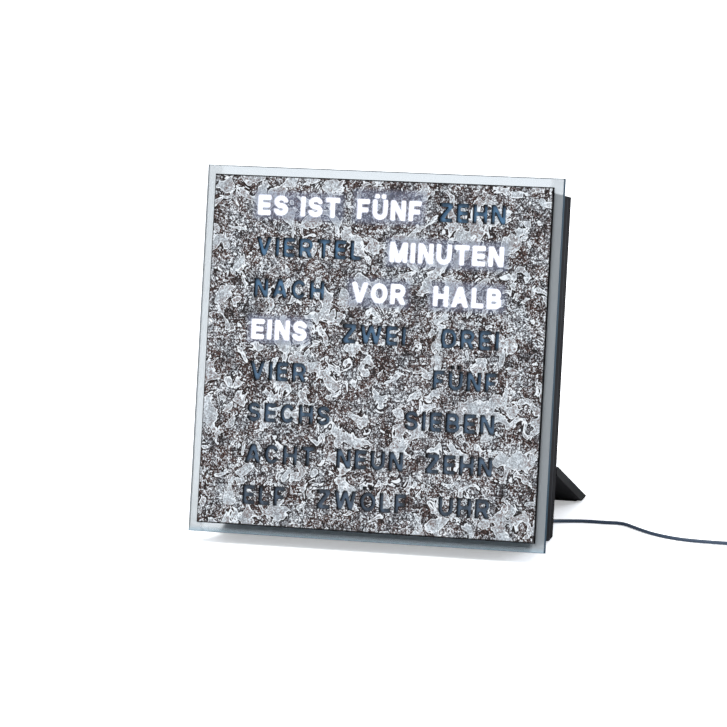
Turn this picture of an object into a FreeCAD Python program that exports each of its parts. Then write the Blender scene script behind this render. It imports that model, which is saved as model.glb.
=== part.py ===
"""Word clock on its fold-out stand.

A clear acrylic plate carries the lettered stone face in front and a shallow case behind.
The clock leans back on two feet under the case and on the sole of the stand.

Clock pieces are drawn in the clock's own axes: X to the viewer's right, Y backwards from the
plate's front face, Z up along the plate from its lower edge. lean() then leans them back and
sets them on the table. The finished part has +Z up, its front towards -Y, and its origin on
the table under the middle of its box.
"""
import FreeCAD, Part
import math
import os
import re

App = FreeCAD
V = App.Vector

SIZES = {
    # stance
    "lean_angle": 16.0,        # plate leans back from the vertical, degrees
    "plate_lift": 8.0,         # plate's lower edge above the table
    "foot_height": 1.2,        # rubber feet under the case
    # clear plate and lettered face
    "plate_side": 225.0,
    "plate_thick": 4.5,
    "plate_chamfer": 0.4,
    "panel_border": 5.6,       # clear border of the plate round the face
    "board_thick": 0.8,
    "film_thick": 0.3,
    "stone_thick": 1.0,
    "stone_inset": 0.6,        # black board shows this much all round the stone
    # lettering
    "cap_height": 11.6,
    "stroke_width": 2.3,
    "letter_gap": 2.5,
    "word_space": 6.2,
    "text_width": 156.0,
    "text_low": 18.8,          # face's lower edge to the middle of the lowest row
    "text_high": 17.9,         # middle of the highest row to the face's upper edge
    "window_margin": 0.8,
    # case
    "case_inset": 8.65,        # plate's side edge to the case's side
    "case_low": 6.2,           # plate's lower edge to the case's underside
    "case_drop": 8.2,          # plate's upper edge to the case's top
    "case_depth": 51.5,
    "case_wall": 1.5,
    "sole_wall": 5.2,          # underside over the level facet
    "case_corner": 1.0,
    "cover_thick": 1.5,
    "cover_gap": 0.2,
    "post_radius": 3.6,
    "post_inset": 8.6,
    "post_gap": 6.0,           # lower posts above the hinge brackets
    # screws
    "screw_radius": 1.45,
    "screw_clear": 0.15,
    "thread_gap": 0.03,
    "screw_head_radius": 2.8,
    "screw_head_thick": 1.6,
    "screw_length": 12.0,
    "head_clear": 0.3,
    # lamps
    "grid_depth": 12.0,
    "grid_post_gap": 0.55,
    "grid_inset": 3.3,         # inside the case's top and underside
    "grid_clear": 0.3,
    "grid_sheet": 1.5,
    "grid_wall": 1.0,
    "led_side": 5.0,
    "led_thick": 1.6,
    "led_pitch": 15.0,
    "led_board_thick": 1.6,
    "ear_margin": 3.2,
    "ear_reach": 8.0,
    "ear_gap": 2.3,            # board's ears above the lower posts
    "boss_radius": 3.0,
    # control board
    "control_width": 61.0,
    "control_height": 25.0,
    "control_thick": 1.6,
    "control_inset": 5.85,     # board's edge inside the case's side
    "control_low": 12.6,
    "control_gap": 7.0,        # board to rear cover
    "spacer_radius": 2.2,
    "spacer_inset": 3.0,
    "chip_side": 9.0,
    "chip_thick": 1.4,
    "crystal_length": 8.0,
    "crystal_radius": 1.5,
    "cell_radius": 10.0,
    "cell_thick": 3.2,
    "holder_side": 22.0,
    "holder_thick": 4.4,
    "ribbon_width": 12.0,
    "ribbon_thick": 1.0,
    "socket_width": 15.0,
    "socket_height": 4.0,
    "socket_depth": 5.0,
    "ribbon_inset": 39.0,      # inside the control board's right edge
    "ribbon_rise": 34.5,
    # push buttons
    "button_inset": 51.0,      # first button inside the control board's right edge
    "button_pitch": 12.0,
    "button_rise": 20.0,
    "button_radius": 3.2,
    "button_proud": 2.2,
    "button_flange": 0.8,
    "button_travel": 0.8,
    "button_clear": 0.15,
    "stem_radius": 1.7,
    "switch_side": 6.0,
    "switch_thick": 3.5,
    # power socket and plug
    "jack_inset": 6.0,         # inside the control board's right edge
    "jack_rise": 17.0,
    "jack_side": 9.0,
    "jack_collar": 3.6,
    "jack_bore": 2.8,
    "plug_barrel_radius": 2.75,
    "plug_barrel_length": 8.0,
    "plug_body_radius": 3.5,
    "plug_body_length": 8.0,
    "plug_relief_length": 6.0,
    "plug_lead": 5.5,          # cord's straight way out of its plug
    # hangers and vents
    "hanger_spread": 120.0,
    "hanger_drop": 34.8,       # below the case's top
    "hanger_radius": 4.0,
    "hanger_slot": 2.0,
    "hanger_run": 8.0,
    "vent_count": 9,
    "vent_pitch": 5.0,
    "vent_width": 2.0,
    "vent_length": 34.0,
    "vent_drop": 66.8,         # middle of the vents below the case's top
    # stand
    "stand_slope": 29.2,       # stand below the level, degrees
    "stand_inset": 0.55,       # stand's end inside the case's side
    "stand_thick": 5.7,
    "stand_pad_thick": 1.2,
    "stand_pad_inset": 4.0,
    "stand_root": 9.5,         # depth of the stand's notches beyond the hinge axis
    "notch_gap": 0.6,
    "hinge_rise": 48.6,
    "hinge_standoff": 5.6,
    "hinge_inset": 28.85,      # middle of a hinge inside the case's side
    "barrel_radius": 3.6,
    "barrel_length": 14.0,
    "pin_radius": 1.5,
    "pin_clear": 0.05,
    "washer_thick": 0.5,
    "ear_thick": 3.0,
    "bracket_base": 1.6,
    "bracket_margin": 3.0,
    "bracket_drop": 14.0,
    "bracket_top": 4.0,
    "bracket_screw_drop": 9.5,
    "bracket_screw_spread": 16.0,
    "bracket_screw_radius": 1.2,
    "bracket_screw_length": 4.5,
    "bracket_head_radius": 2.3,
    "bracket_head_thick": 1.2,
    "stop_start": 4.5,
    "stop_end": 7.5,
    "stop_thick": 2.2,
    "stop_gap": 0.02,
    # feet
    "foot_length": 34.0,
    "foot_width": 8.0,
    "foot_inset": 28.85,       # middle of a foot inside the case's side
    # cord
    "cord_radius": 1.1,
    "coil_radius": 13.0,
    "coil_section": 8.9,
    "coil_tall": 8.9,
    "coil_lift": 0.5,
    "coil_round": 2.8,
    "coil_exit": 16.3,         # radius at which the cord leaves the coil
    "coil_stub": 13.0,
    "coil_lead": 18.0,         # cord's straight way into the coil
    "tie_thick": 0.5,
    "tie_width": 5.0,
    "tail_length": 12.0,
    "end_body_length": 18.0,
    "end_body_width": 15.0,
    "end_body_thick": 7.4,
    "end_shell_length": 11.8,
    "end_shell_width": 12.0,
    "end_shell_thick": 4.5,
    "end_shell_wall": 0.4,
}

# Sizes that follow from the others.
LAYOUT = {
    "panel_side": "plate_side - 2 * panel_border",
    "stone_side": "panel_side - 2 * stone_inset",
    "case_width": "plate_side - 2 * case_inset",
    "case_height": "plate_side - case_low - case_drop",
    "post_x": "case_width / 2 - post_inset",
    "grid_width": "2 * (post_x - post_radius - grid_post_gap)",
    "grid_height": "case_height - 2 * grid_inset",
    "ear_width": "2 * (post_x + ear_margin)",
    "boss_spread": "2 * (case_low + case_height / 2 - hinge_rise - bracket_top - post_gap"
                   " - post_radius - ear_gap - ear_reach)",
    "ear_height": "boss_spread + 2 * ear_reach",
    "control_right": "case_width / 2 - control_inset",
    "jack_x": "control_right - jack_inset",
    "button_x": "control_right - button_inset",
    "ribbon_x": "control_right - ribbon_inset",
    "hanger_rise": "case_low + case_height - hanger_drop",
    "vent_rise": "case_low + case_height - vent_drop",
    "stand_width": "case_width - 2 * stand_inset",
    "hinge_spread": "case_width - 2 * hinge_inset",
    "foot_spread": "case_width - 2 * foot_inset",
}

# Time words, row by row from the top. A row's first word starts at the left of the text and its
# last word ends at the right.
ROWS = [
    ["ES IST", "FÜNF", "ZEHN"],
    ["VIERTEL", "MINUTEN"],
    ["NACH", "VOR", "HALB"],
    ["EINS", "ZWEI", "DREI"],
    ["VIER", "FÜNF"],
    ["SECHS", "SIEBEN"],
    ["ACHT", "NEUN", "ZEHN"],
    ["ELF", "ZWÖLF", "UHR"],
]

# Width of each letter as a share of the cap height.
LETTER_WIDTH = {
    "A": 0.86, "B": 0.74, "C": 0.80, "D": 0.77, "E": 0.66, "F": 0.62, "H": 0.77, "I": 0.20,
    "L": 0.61, "M": 0.91, "N": 0.77, "O": 0.85, "R": 0.78, "S": 0.73, "T": 0.73, "U": 0.77,
    "V": 0.84, "W": 1.20, "Z": 0.73,
}
UMLAUTS = {"Ü": "U", "Ö": "O"}

# The cord's route on the table after its plug, as X right of the clock's middle, Y behind the
# plate's lower edge, and height of the cord's middle.
CORD_ROUTE = [
    (94.2, 82.5, 2.3),
    (98.3, 86.5, 1.5),
    (106.7, 89.7, 1.1),
    (117.0, 91.4, 1.1),
    (128.0, 90.9, 1.1),
    (139.5, 91.9, 1.1),
    (149.5, 83.4, 1.1),
    (163.0, 73.2, 1.1),
    (181.0, 66.2, 1.1),
]
COIL_PLACE = (232.0, 79.6)     # middle of the coil, measured like the route


class Sizes:
    """The sheet's values by name, for the script's own arithmetic."""


def fill_sheet():
    sheet = doc.addObject("Spreadsheet::Sheet", "Sizes")
    rows = list(SIZES.items()) + [(name, "=" + rule) for name, rule in LAYOUT.items()]
    for row, (name, value) in enumerate(rows, start=1):
        sheet.set("A%d" % row, name)
        sheet.set("B%d" % row, str(value))
        sheet.setAlias("B%d" % row, name)
    doc.recompute()
    values = Sizes()
    for name, _ in rows:
        setattr(values, name, float(sheet.get(name)))
    return values


def linked(text):
    """An expression with each size name pointing at its cell."""
    return re.sub(r"[a-z]\w*", lambda word: "Sizes." + word.group()
                  if word.group() in SIZES or word.group() in LAYOUT else word.group(), text)


doc = App.newDocument("WordClock")
s = fill_sheet()
nodes = []


def bind(obj, **expressions):
    for prop, text in expressions.items():
        obj.setExpression(prop, linked(text))
    return obj


# ---------------------------------------------------------------- solids in the clock's axes

ALONG = {
    "x": App.Rotation(V(0, 1, 0), 90),
    "y": App.Rotation(V(1, 0, 0), -90),
    "z": App.Rotation(),
}


def box(name, length, width, height, at):
    obj = doc.addObject("Part::Box", name)
    bind(obj, Length=length, Width=width, Height=height)
    obj.Placement.Base = V(*at)
    return obj


def rod(name, radius, height, at, axis="y"):
    obj = doc.addObject("Part::Cylinder", name)
    bind(obj, Radius=radius, Height=height)
    obj.Placement = App.Placement(V(*at), ALONG[axis])
    return obj


def cone(name, radius_start, radius_end, height, at, axis="y"):
    obj = doc.addObject("Part::Cone", name)
    bind(obj, Radius1=radius_start, Radius2=radius_end, Height=height)
    obj.Placement = App.Placement(V(*at), ALONG[axis])
    return obj


def fuse(name, parts):
    obj = doc.addObject("Part::MultiFuse", name)
    obj.Shapes = parts
    obj.Refine = True
    return obj


def group(name, parts):
    """Separate solids in one sub-part, such as a set of equal screws."""
    obj = doc.addObject("Part::Compound", name)
    obj.Links = parts
    return obj


def cut(name, base, tools):
    obj = doc.addObject("Part::Cut", name)
    obj.Base = base
    obj.Tool = tools[0] if len(tools) == 1 else fuse(name + "Tools", tools)
    obj.Refine = True
    return obj


def solid(name, shape):
    obj = doc.addObject("Part::Feature", name)
    obj.Shape = shape
    return obj


# ---------------------------------------------------------------- where things stand

LEAN = math.radians(s.lean_angle)
SLOPE = math.radians(s.stand_slope)

face_front = -(s.board_thick + s.film_thick + s.stone_thick)
case_back = s.plate_thick + s.case_depth
case_top = s.case_low + s.case_height
cover_front = case_back - s.cover_thick
grid_back = s.plate_thick + s.grid_depth
led_board_back = grid_back + s.led_board_thick
control_back = cover_front - s.control_gap
control_front = control_back - s.control_thick
flange_back = s.plate_thick + s.case_wall
middle_rise = s.case_low + s.case_height / 2
panel_low = s.panel_border
hinge_back = case_back + s.hinge_standoff
post_places = [(side * s.post_x, rise) for side in (-1, 1)
               for rise in (s.hinge_rise + s.bracket_top + s.post_gap, case_top - s.post_inset)]
boss_places = [(side * s.post_x, middle_rise + end * s.boss_spread / 2)
               for side in (-1, 1) for end in (-1, 1)]
hinge_places = [("left", -s.hinge_spread / 2), ("right", s.hinge_spread / 2)]


def table_depth(back, rise):
    """Depth over the table, behind the plate's lower edge, of a place on the clock."""
    return rise * math.sin(LEAN) + back * math.cos(LEAN)


def table_height(back, rise):
    return s.plate_lift + rise * math.cos(LEAN) - back * math.sin(LEAN)


hinge_depth = table_depth(hinge_back, s.hinge_rise)
hinge_height = table_height(hinge_back, s.hinge_rise)


def stand_reach(side, height):
    """Distance from the hinge axis, along the stand, at which a face of it comes to a height."""
    return (hinge_height + side * s.stand_thick / 2 * math.cos(SLOPE) - height) / math.sin(SLOPE)


def stand_depth(reach, side):
    return hinge_depth + reach * math.cos(SLOPE) + side * s.stand_thick / 2 * math.sin(SLOPE)


front_depth = min(0.0, table_depth(face_front, panel_low + s.stone_inset),
                  table_depth(-s.film_thick - s.board_thick, panel_low))
back_depth = max(stand_depth(stand_reach(1, 0), 1), table_depth(case_back, case_top))
origin_depth = (front_depth + back_depth) / 2

LEANING = App.Placement(V(0, -origin_depth, s.plate_lift),
                        App.Rotation(V(1, 0, 0), -s.lean_angle))
ON_TABLE = App.Placement(V(0, -origin_depth, 0), App.Rotation())
STANDING = App.Placement(V(0, hinge_depth - origin_depth, hinge_height),
                         App.Rotation(V(1, 0, 0), -s.stand_slope))


def keep(name, obj, placement=LEANING):
    """Make an object a sub-part of the clock, and put it where it belongs."""
    obj.Label = name
    obj.Placement = placement.multiply(obj.Placement)
    nodes.append(obj)
    return obj


# ---------------------------------------------------------------- lettering

def flat(points):
    corners = [V(x, 0, z) for x, z in points]
    return Part.Face(Part.makePolygon(corners + corners[:1]))


def bar(x0, z0, x1, z1):
    return flat([(x0, z0), (x1, z0), (x1, z1), (x0, z1)])


def slant(x_low, x_high, z_low, z_high, width):
    return flat([(x_low, z_low), (x_low + width, z_low), (x_high + width, z_high), (x_high, z_high)])


def oval(x, z, half_width, half_height):
    top, side = V(x, 0, z + half_height), V(x + half_width, 0, z)
    if abs(half_width - half_height) < 1e-6:
        edge = Part.Circle(V(x, 0, z), V(0, 1, 0), half_width)
    elif half_height > half_width:
        edge = Part.Ellipse(top, side, V(x, 0, z))
    else:
        edge = Part.Ellipse(side, top, V(x, 0, z))
    return Part.Face(Part.Wire(edge.toShape()))


def hoop(x, z, half_width, half_height, stroke):
    return oval(x, z, half_width, half_height).cut(
        oval(x, z, half_width - stroke, half_height - stroke))


def rounded_right(x0, z0, x1, z1, radius):
    """A rectangle whose two right corners are round."""
    blank = bar(x0, z0, x1 - radius, z1).fuse(bar(x0, z0 + radius, x1, z1 - radius))
    return blank.fuse([oval(x1 - radius, z0 + radius, radius, radius),
                       oval(x1 - radius, z1 - radius, radius, radius)])


def bowl(z0, z1, width, stroke):
    """A stem with a round bowl to its right, as in D and B."""
    radius = min((z1 - z0) / 2, width * 0.55) * 0.98
    outer = rounded_right(0, z0, width, z1, radius)
    hollow = rounded_right(stroke, z0 + stroke, width - stroke, z1 - stroke, radius - stroke)
    return outer.cut(hollow)


def letter_strokes(letter, cap, stroke):
    """The flat strokes of one letter, from its lower left corner."""
    wide = LETTER_WIDTH[letter] * cap
    mid = wide / 2
    low_bar = (cap - stroke) / 2
    thin = stroke * 1.12       # level width of a slanting stroke
    stem = bar(0, 0, stroke, cap)
    right_stem = bar(wide - stroke, 0, wide, cap)
    foot = bar(0, 0, wide, stroke)
    head = bar(0, cap - stroke, wide, cap)
    if letter == "A":
        return [slant(0, mid - thin / 2, 0, cap, thin),
                slant(wide - thin, mid - thin / 2, 0, cap, thin),
                bar(wide * 0.2, cap * 0.22, wide * 0.8, cap * 0.22 + stroke * 0.9)]
    if letter == "B":
        return [bowl(0, low_bar + stroke, wide, stroke),
                bowl(low_bar, cap, wide * 0.95, stroke)]
    if letter == "C":
        mouth = flat([(mid, cap / 2), (2 * wide, cap * 1.3), (2 * wide, -cap * 0.3)])
        return [hoop(mid, cap / 2, mid, cap / 2, stroke).cut(mouth)]
    if letter == "D":
        return [bowl(0, cap, wide, stroke)]
    if letter == "E":
        return [stem, foot, head, bar(0, low_bar, wide * 0.93, low_bar + stroke)]
    if letter == "F":
        return [stem, head, bar(0, low_bar - stroke * 0.2, wide * 0.9, low_bar + stroke * 0.8)]
    if letter == "H":
        return [stem, right_stem, bar(0, low_bar, wide, low_bar + stroke)]
    if letter == "I":
        return [stem]
    if letter == "L":
        return [stem, foot]
    if letter == "M":
        return [stem, right_stem, slant(mid - thin / 2, 0, 0, cap, thin),
                slant(mid - thin / 2, wide - thin, 0, cap, thin)]
    if letter == "N":
        return [stem, right_stem, slant(wide - thin, 0, 0, cap, thin)]
    if letter == "O":
        return [hoop(mid, cap / 2, mid, cap / 2, stroke)]
    if letter == "R":
        return [stem, bowl(low_bar - stroke * 0.3, cap, wide * 0.96, stroke),
                slant(wide - thin * 1.1, wide * 0.42, 0, low_bar, thin * 1.1)]
    if letter == "S":
        half = (cap + stroke) / 4
        upper = hoop(mid, cap - half, mid * 0.96, half, stroke)
        lower = hoop(mid, half, mid, half, stroke)
        return [upper.cut(bar(mid, low_bar - stroke, 2 * wide, cap - half)),
                lower.cut(bar(-wide, half, mid, low_bar + 2 * stroke))]
    if letter == "T":
        return [head, bar(mid - stroke / 2, 0, mid + stroke / 2, cap)]
    if letter == "U":
        base = hoop(mid, mid, mid, mid, stroke).cut(bar(-1, mid, wide + 1, 2 * cap))
        return [base, bar(0, mid, stroke, cap), bar(wide - stroke, mid, wide, cap)]
    if letter == "V":
        return [slant(mid - thin / 2, 0, 0, cap, thin),
                slant(mid - thin / 2, wide - thin, 0, cap, thin)]
    if letter == "W":
        low_left, low_right = wide * 0.26 - thin / 2, wide * 0.74 - thin / 2
        return [slant(low_left, 0, 0, cap, thin), slant(low_left, mid - thin / 2, 0, cap, thin),
                slant(low_right, mid - thin / 2, 0, cap, thin),
                slant(low_right, wide - thin, 0, cap, thin)]
    return [foot, head, slant(0, wide - thin * 1.3, stroke, cap - stroke, thin * 1.3)]


def letter_block(letter):
    """A letter as a block one unit deep, with its dots if it has any."""
    plain = UMLAUTS.get(letter, letter)
    strokes = letter_strokes(plain, s.cap_height, s.stroke_width)
    if letter in UMLAUTS:
        wide = LETTER_WIDTH[plain] * s.cap_height
        for share in (0.27, 0.73):
            left = wide * share - s.stroke_width / 2
            low = s.cap_height + s.stroke_width * 0.55
            strokes.append(bar(left, low, left + s.stroke_width, low + s.stroke_width * 0.9))
    blocks = [piece for stroke in strokes for piece in stroke.extrude(V(0, 1, 0)).Solids]
    block = blocks[0].multiFuse(blocks[1:]) if blocks[1:] else blocks[0]
    return block.removeSplitter()


def word_width(word):
    width = 0.0
    for letter in word:
        if letter == " ":
            width += s.word_space
        else:
            width += LETTER_WIDTH[UMLAUTS.get(letter, letter)] * s.cap_height + s.letter_gap
    return width - s.letter_gap


def place_words():
    """Each word with its left end and its base line."""
    placed = []
    pitch = (s.panel_side - s.text_low - s.text_high) / (len(ROWS) - 1)
    lowest = panel_low + s.text_low - s.cap_height / 2
    for row, words in enumerate(ROWS):
        base = lowest + (len(ROWS) - 1 - row) * pitch
        widths = [word_width(word) for word in words]
        space = (s.text_width - sum(widths)) / (len(words) - 1)
        left = -s.text_width / 2
        for word, width in zip(words, widths):
            placed.append((word, left, base, width))
            left += width + space
    return placed


def word_outlines(placed):
    """The outlines of every letter of the face, at depth zero."""
    blocks = {letter: letter_block(letter) for letter in {c for word, *_ in placed for c in word}
              if letter != " "}
    wires = []
    for word, left, base, _ in placed:
        for letter in word:
            if letter == " ":
                left += s.word_space
                continue
            block = blocks[letter].copy()
            block.translate(V(left, 0, base))
            for face in block.Faces:
                if face.BoundBox.YLength < 1e-6 and face.BoundBox.YMin < 0.5:
                    wires += face.Wires
            left += LETTER_WIDTH[UMLAUTS.get(letter, letter)] * s.cap_height + s.letter_gap
    return wires


def word_windows(placed, margin):
    """A rectangle round each word, high enough for the dots over a letter."""
    windows = []
    for _, left, base, width in placed:
        top = base + s.cap_height + s.stroke_width * 1.45
        windows.append((left - margin, base - margin, left + width + margin, top + margin))
    return windows


def rectangle(x0, z0, x1, z1):
    corners = [V(x0, 0, z0), V(x1, 0, z0), V(x1, 0, z1), V(x0, 0, z1)]
    return Part.makePolygon(corners + corners[:1])


def grown(edges, margin):
    x0, z0, x1, z1 = edges
    return x0 - margin, z0 - margin, x1 + margin, z1 + margin


def pierced(outline, holes, front, thick):
    """A sheet with holes; an outline inside a hole is an island of the same sheet."""
    face = Part.makeFace(Part.Compound([outline] + holes), "Part::FaceMakerBullseye")
    sheet = face.extrude(V(0, thick, 0))
    sheet.translate(V(0, front, 0))
    return sheet


# ---------------------------------------------------------------- clear plate and face

def named_edges(feature, wanted):
    """Names of a feature's edges whose middle passes the test."""
    names = []
    for number, edge in enumerate(feature.Shape.Edges, start=1):
        if wanted(edge.CenterOfMass, edge):
            names.append("Edge%d" % number)
    return names


def origin_plane(body, role):
    return [item for item in body.Origin.OriginFeatures if item.Role == role][0]


def new_sketch(body, name, role):
    sketch = body.newObject("Sketcher::SketchObject", name)
    sketch.AttachmentSupport = [(origin_plane(body, role), "")]
    sketch.MapMode = "FlatFace"
    return sketch


def sketch_rectangle(sketch, left, low, width, height):
    """A rectangle whose lower left corner, width and height are expressions."""
    import Sketcher
    first = sketch.GeometryCount
    corners = [V(0, 0, 0), V(10, 0, 0), V(10, 10, 0), V(0, 10, 0)]
    for start, end in zip(corners, corners[1:] + corners[:1]):
        sketch.addGeometry(Part.LineSegment(start, end), False)
    for side in range(4):
        sketch.addConstraint(Sketcher.Constraint("Coincident", first + side, 2,
                                                 first + (side + 1) % 4, 1))
    for side, kind in enumerate(("Horizontal", "Vertical", "Horizontal", "Vertical")):
        sketch.addConstraint(Sketcher.Constraint(kind, first + side))
    measures = (("DistanceX", (first, 1, first, 2), 10, width),
                ("DistanceY", (first + 1, 1, first + 1, 2), 10, height),
                ("DistanceX", (-1, 1, first, 1), 1, left),
                ("DistanceY", (-1, 1, first, 1), 1, low))
    for kind, ends, start_value, text in measures:
        number = sketch.addConstraint(Sketcher.Constraint(kind, *ends, start_value))
        sketch.setExpression("Constraints[%d]" % number, linked(text))


def sketch_circles(sketch, places, radius):
    """Circles at fixed places whose radius is an expression."""
    import Sketcher
    for x, z in places:
        circle = sketch.addGeometry(Part.Circle(V(x, z, 0), V(0, 0, 1), 1.0), False)
        number = sketch.addConstraint(Sketcher.Constraint("Radius", circle, 1.0))
        sketch.setExpression("Constraints[%d]" % number, linked(radius))


def pocket(body, name, sketch, depth):
    before = body.Shape.Volume
    feature = body.newObject("PartDesign::Pocket", name)
    feature.Profile = sketch
    bind(feature, Length=depth)
    doc.recompute()
    if not feature.Shape.Volume < before - 1e-3:
        raise RuntimeError(name + " cuts nothing")
    return feature


def make_front_plate():
    body = doc.addObject("PartDesign::Body", "FrontPlate")
    outline = new_sketch(body, "PlateOutline", "XZ_Plane")
    sketch_rectangle(outline, "-plate_side / 2", "0", "plate_side", "plate_side")
    pad = body.newObject("PartDesign::Pad", "PlatePad")
    pad.Profile = outline
    pad.Reversed = True
    bind(pad, Length="plate_thick")
    doc.recompute()
    chamfer = body.newObject("PartDesign::Chamfer", "PlateEdges")
    chamfer.Base = (pad, named_edges(pad, lambda middle, edge: edge.Length > s.plate_thick * 2))
    bind(chamfer, Size="plate_chamfer")
    doc.recompute()
    heads = new_sketch(body, "HeadSeats", "XZ_Plane")
    sketch_circles(heads, post_places, "screw_head_radius + head_clear")
    pocket(body, "HeadPockets", heads, "screw_head_thick + head_clear")
    holes = new_sketch(body, "ScrewHoles", "XZ_Plane")
    sketch_circles(holes, post_places, "screw_radius + screw_clear")
    pocket(body, "ScrewPockets", holes, "plate_thick + 1")
    keep("front_plate", body)


def make_face(placed):
    half = s.panel_side / 2
    stone_half = s.stone_side / 2
    stone_low = panel_low + s.stone_inset
    letters = word_outlines(placed)
    film = box("LightFilm", "stone_side", "film_thick", "stone_side",
               (-stone_half, -s.film_thick, stone_low))
    keep("light_film", film)
    board = pierced(rectangle(-half, panel_low, half, panel_low + s.panel_side), letters,
                    -s.film_thick - s.board_thick, s.board_thick)
    keep("letter_board", solid("LetterBoard", board))
    stone = pierced(rectangle(-stone_half, stone_low, stone_half, stone_low + 2 * stone_half),
                    letters, face_front, s.stone_thick)
    keep("stone_sheet", solid("StoneSheet", stone))


def make_screws(name, places, head_face, points_back, length, radius="screw_radius",
                head_radius="screw_head_radius", head_thick="screw_head_thick", head_size=None):
    """Pan-head screws. head_face is the depth of the face that the heads bear on."""
    thick = s.screw_head_thick if head_size is None else head_size
    screws = []
    for number, (x, rise) in enumerate(places):
        tag = "%s%d" % (name, number)
        if points_back:
            head = rod(tag + "Head", head_radius, head_thick, (x, head_face - thick, rise))
            shank = rod(tag + "Shank", radius, str(length), (x, head_face, rise))
        else:
            head = rod(tag + "Head", head_radius, head_thick, (x, head_face, rise))
            shank = rod(tag + "Shank", radius, str(length), (x, head_face - length, rise))
        screws.append(fuse(tag, [head, shank]))
    return group(name, screws)


def make_plate_screws():
    seat = s.screw_head_thick + s.head_clear
    keep("plate_screws", make_screws("PlateScrews", post_places, seat, True, s.screw_length))


# ---------------------------------------------------------------- case

def sole_cutter(name, across):
    """A block whose level top is the plane of the case's facet."""
    size = s.case_depth
    block = box(name, "case_width + 20", "case_depth", "case_depth", (0, 0, 0))
    start = table_depth(case_back, s.case_low) - size / 2
    level = App.Placement(V(across, start, s.foot_height - size), App.Rotation())
    clock_to_table = App.Placement(V(0, 0, s.plate_lift), App.Rotation(V(1, 0, 0), -s.lean_angle))
    block.Placement = clock_to_table.inverse().multiply(level)
    return block


def make_case_shell():
    half = s.case_width / 2
    outer = box("CaseOuter", "case_width", "case_depth", "case_height",
                (-half, s.plate_thick, s.case_low))
    inner_width = "case_width - 2 * case_wall"
    step_back = case_back - s.case_depth * 0.28
    cavity = box("CaseCavity", inner_width, "case_depth * 0.72 - case_wall",
                 "case_height - 2 * case_wall",
                 (-half + s.case_wall, flange_back, s.case_low + s.case_wall))
    rear_cavity = box("CaseRearCavity", inner_width, "case_depth * 0.28 + 1",
                      "case_height - case_wall - sole_wall",
                      (-half + s.case_wall, step_back, s.case_low + s.sole_wall))
    opening = box("CaseOpening", "grid_width + 2 * grid_clear", "case_wall + 2",
                  "grid_height + 2 * grid_clear",
                  (-s.grid_width / 2 - s.grid_clear, s.plate_thick - 1,
                   middle_rise - s.grid_height / 2 - s.grid_clear))
    shell = cut("CaseHollow", outer, [cavity, rear_cavity, opening,
                                      sole_cutter("CaseFacet", -half - 10)])
    posts = [rod("Post%d" % i, "post_radius", "case_depth - case_wall - cover_thick",
                 (x, flange_back, rise)) for i, (x, rise) in enumerate(post_places)]
    webs = [box("PostWeb%d" % i, "post_inset - case_wall + 0.5", "case_depth - case_wall - cover_thick",
                "case_wall", (x if x > 0 else x - (s.post_inset - s.case_wall + 0.5), flange_back,
                              rise - s.case_wall / 2))
            for i, (x, rise) in enumerate(post_places)]
    bosses = [rod("Boss%d" % i, "boss_radius", "grid_depth - case_wall", (x, flange_back, rise))
              for i, (x, rise) in enumerate(boss_places)]
    body = fuse("CaseBody", [shell] + posts + webs + bosses)
    bores = []
    for i, (x, rise) in enumerate(post_places):
        bores.append(rod("PostBore%d" % i, "screw_radius + thread_gap", "case_depth + 2",
                         (x, s.plate_thick - 1, rise)))
    for i, (x, rise) in enumerate(boss_places):
        bores.append(rod("BossBore%d" % i, "bracket_screw_radius + thread_gap", "grid_depth + 1",
                         (x, s.plate_thick, rise)))
    drilled = cut("CaseDrilled", body, bores)
    doc.recompute()
    rounded = doc.addObject("Part::Fillet", "CaseShell")
    rounded.Base = drilled
    corners = []
    for number, edge in enumerate(drilled.Shape.Edges, start=1):
        box_of = edge.BoundBox
        outside = abs(abs(edge.CenterOfMass.x) - half) < 1e-3
        along_depth = box_of.YLength > s.case_depth * 0.9 and box_of.ZLength < 1e-3
        if outside and along_depth and edge.CenterOfMass.z > middle_rise:
            corners.append((number, s.case_corner, s.case_corner))
        if outside and box_of.ZLength > s.case_height * 0.9 and abs(box_of.YMin - case_back) < 1e-3:
            corners.append((number, s.case_corner, s.case_corner))
    rounded.Edges = corners
    keep("case_shell", rounded)


def button_places():
    return [("hour", s.button_x), ("minute", s.button_x + s.button_pitch),
            ("light", s.button_x + 2 * s.button_pitch)]


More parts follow.
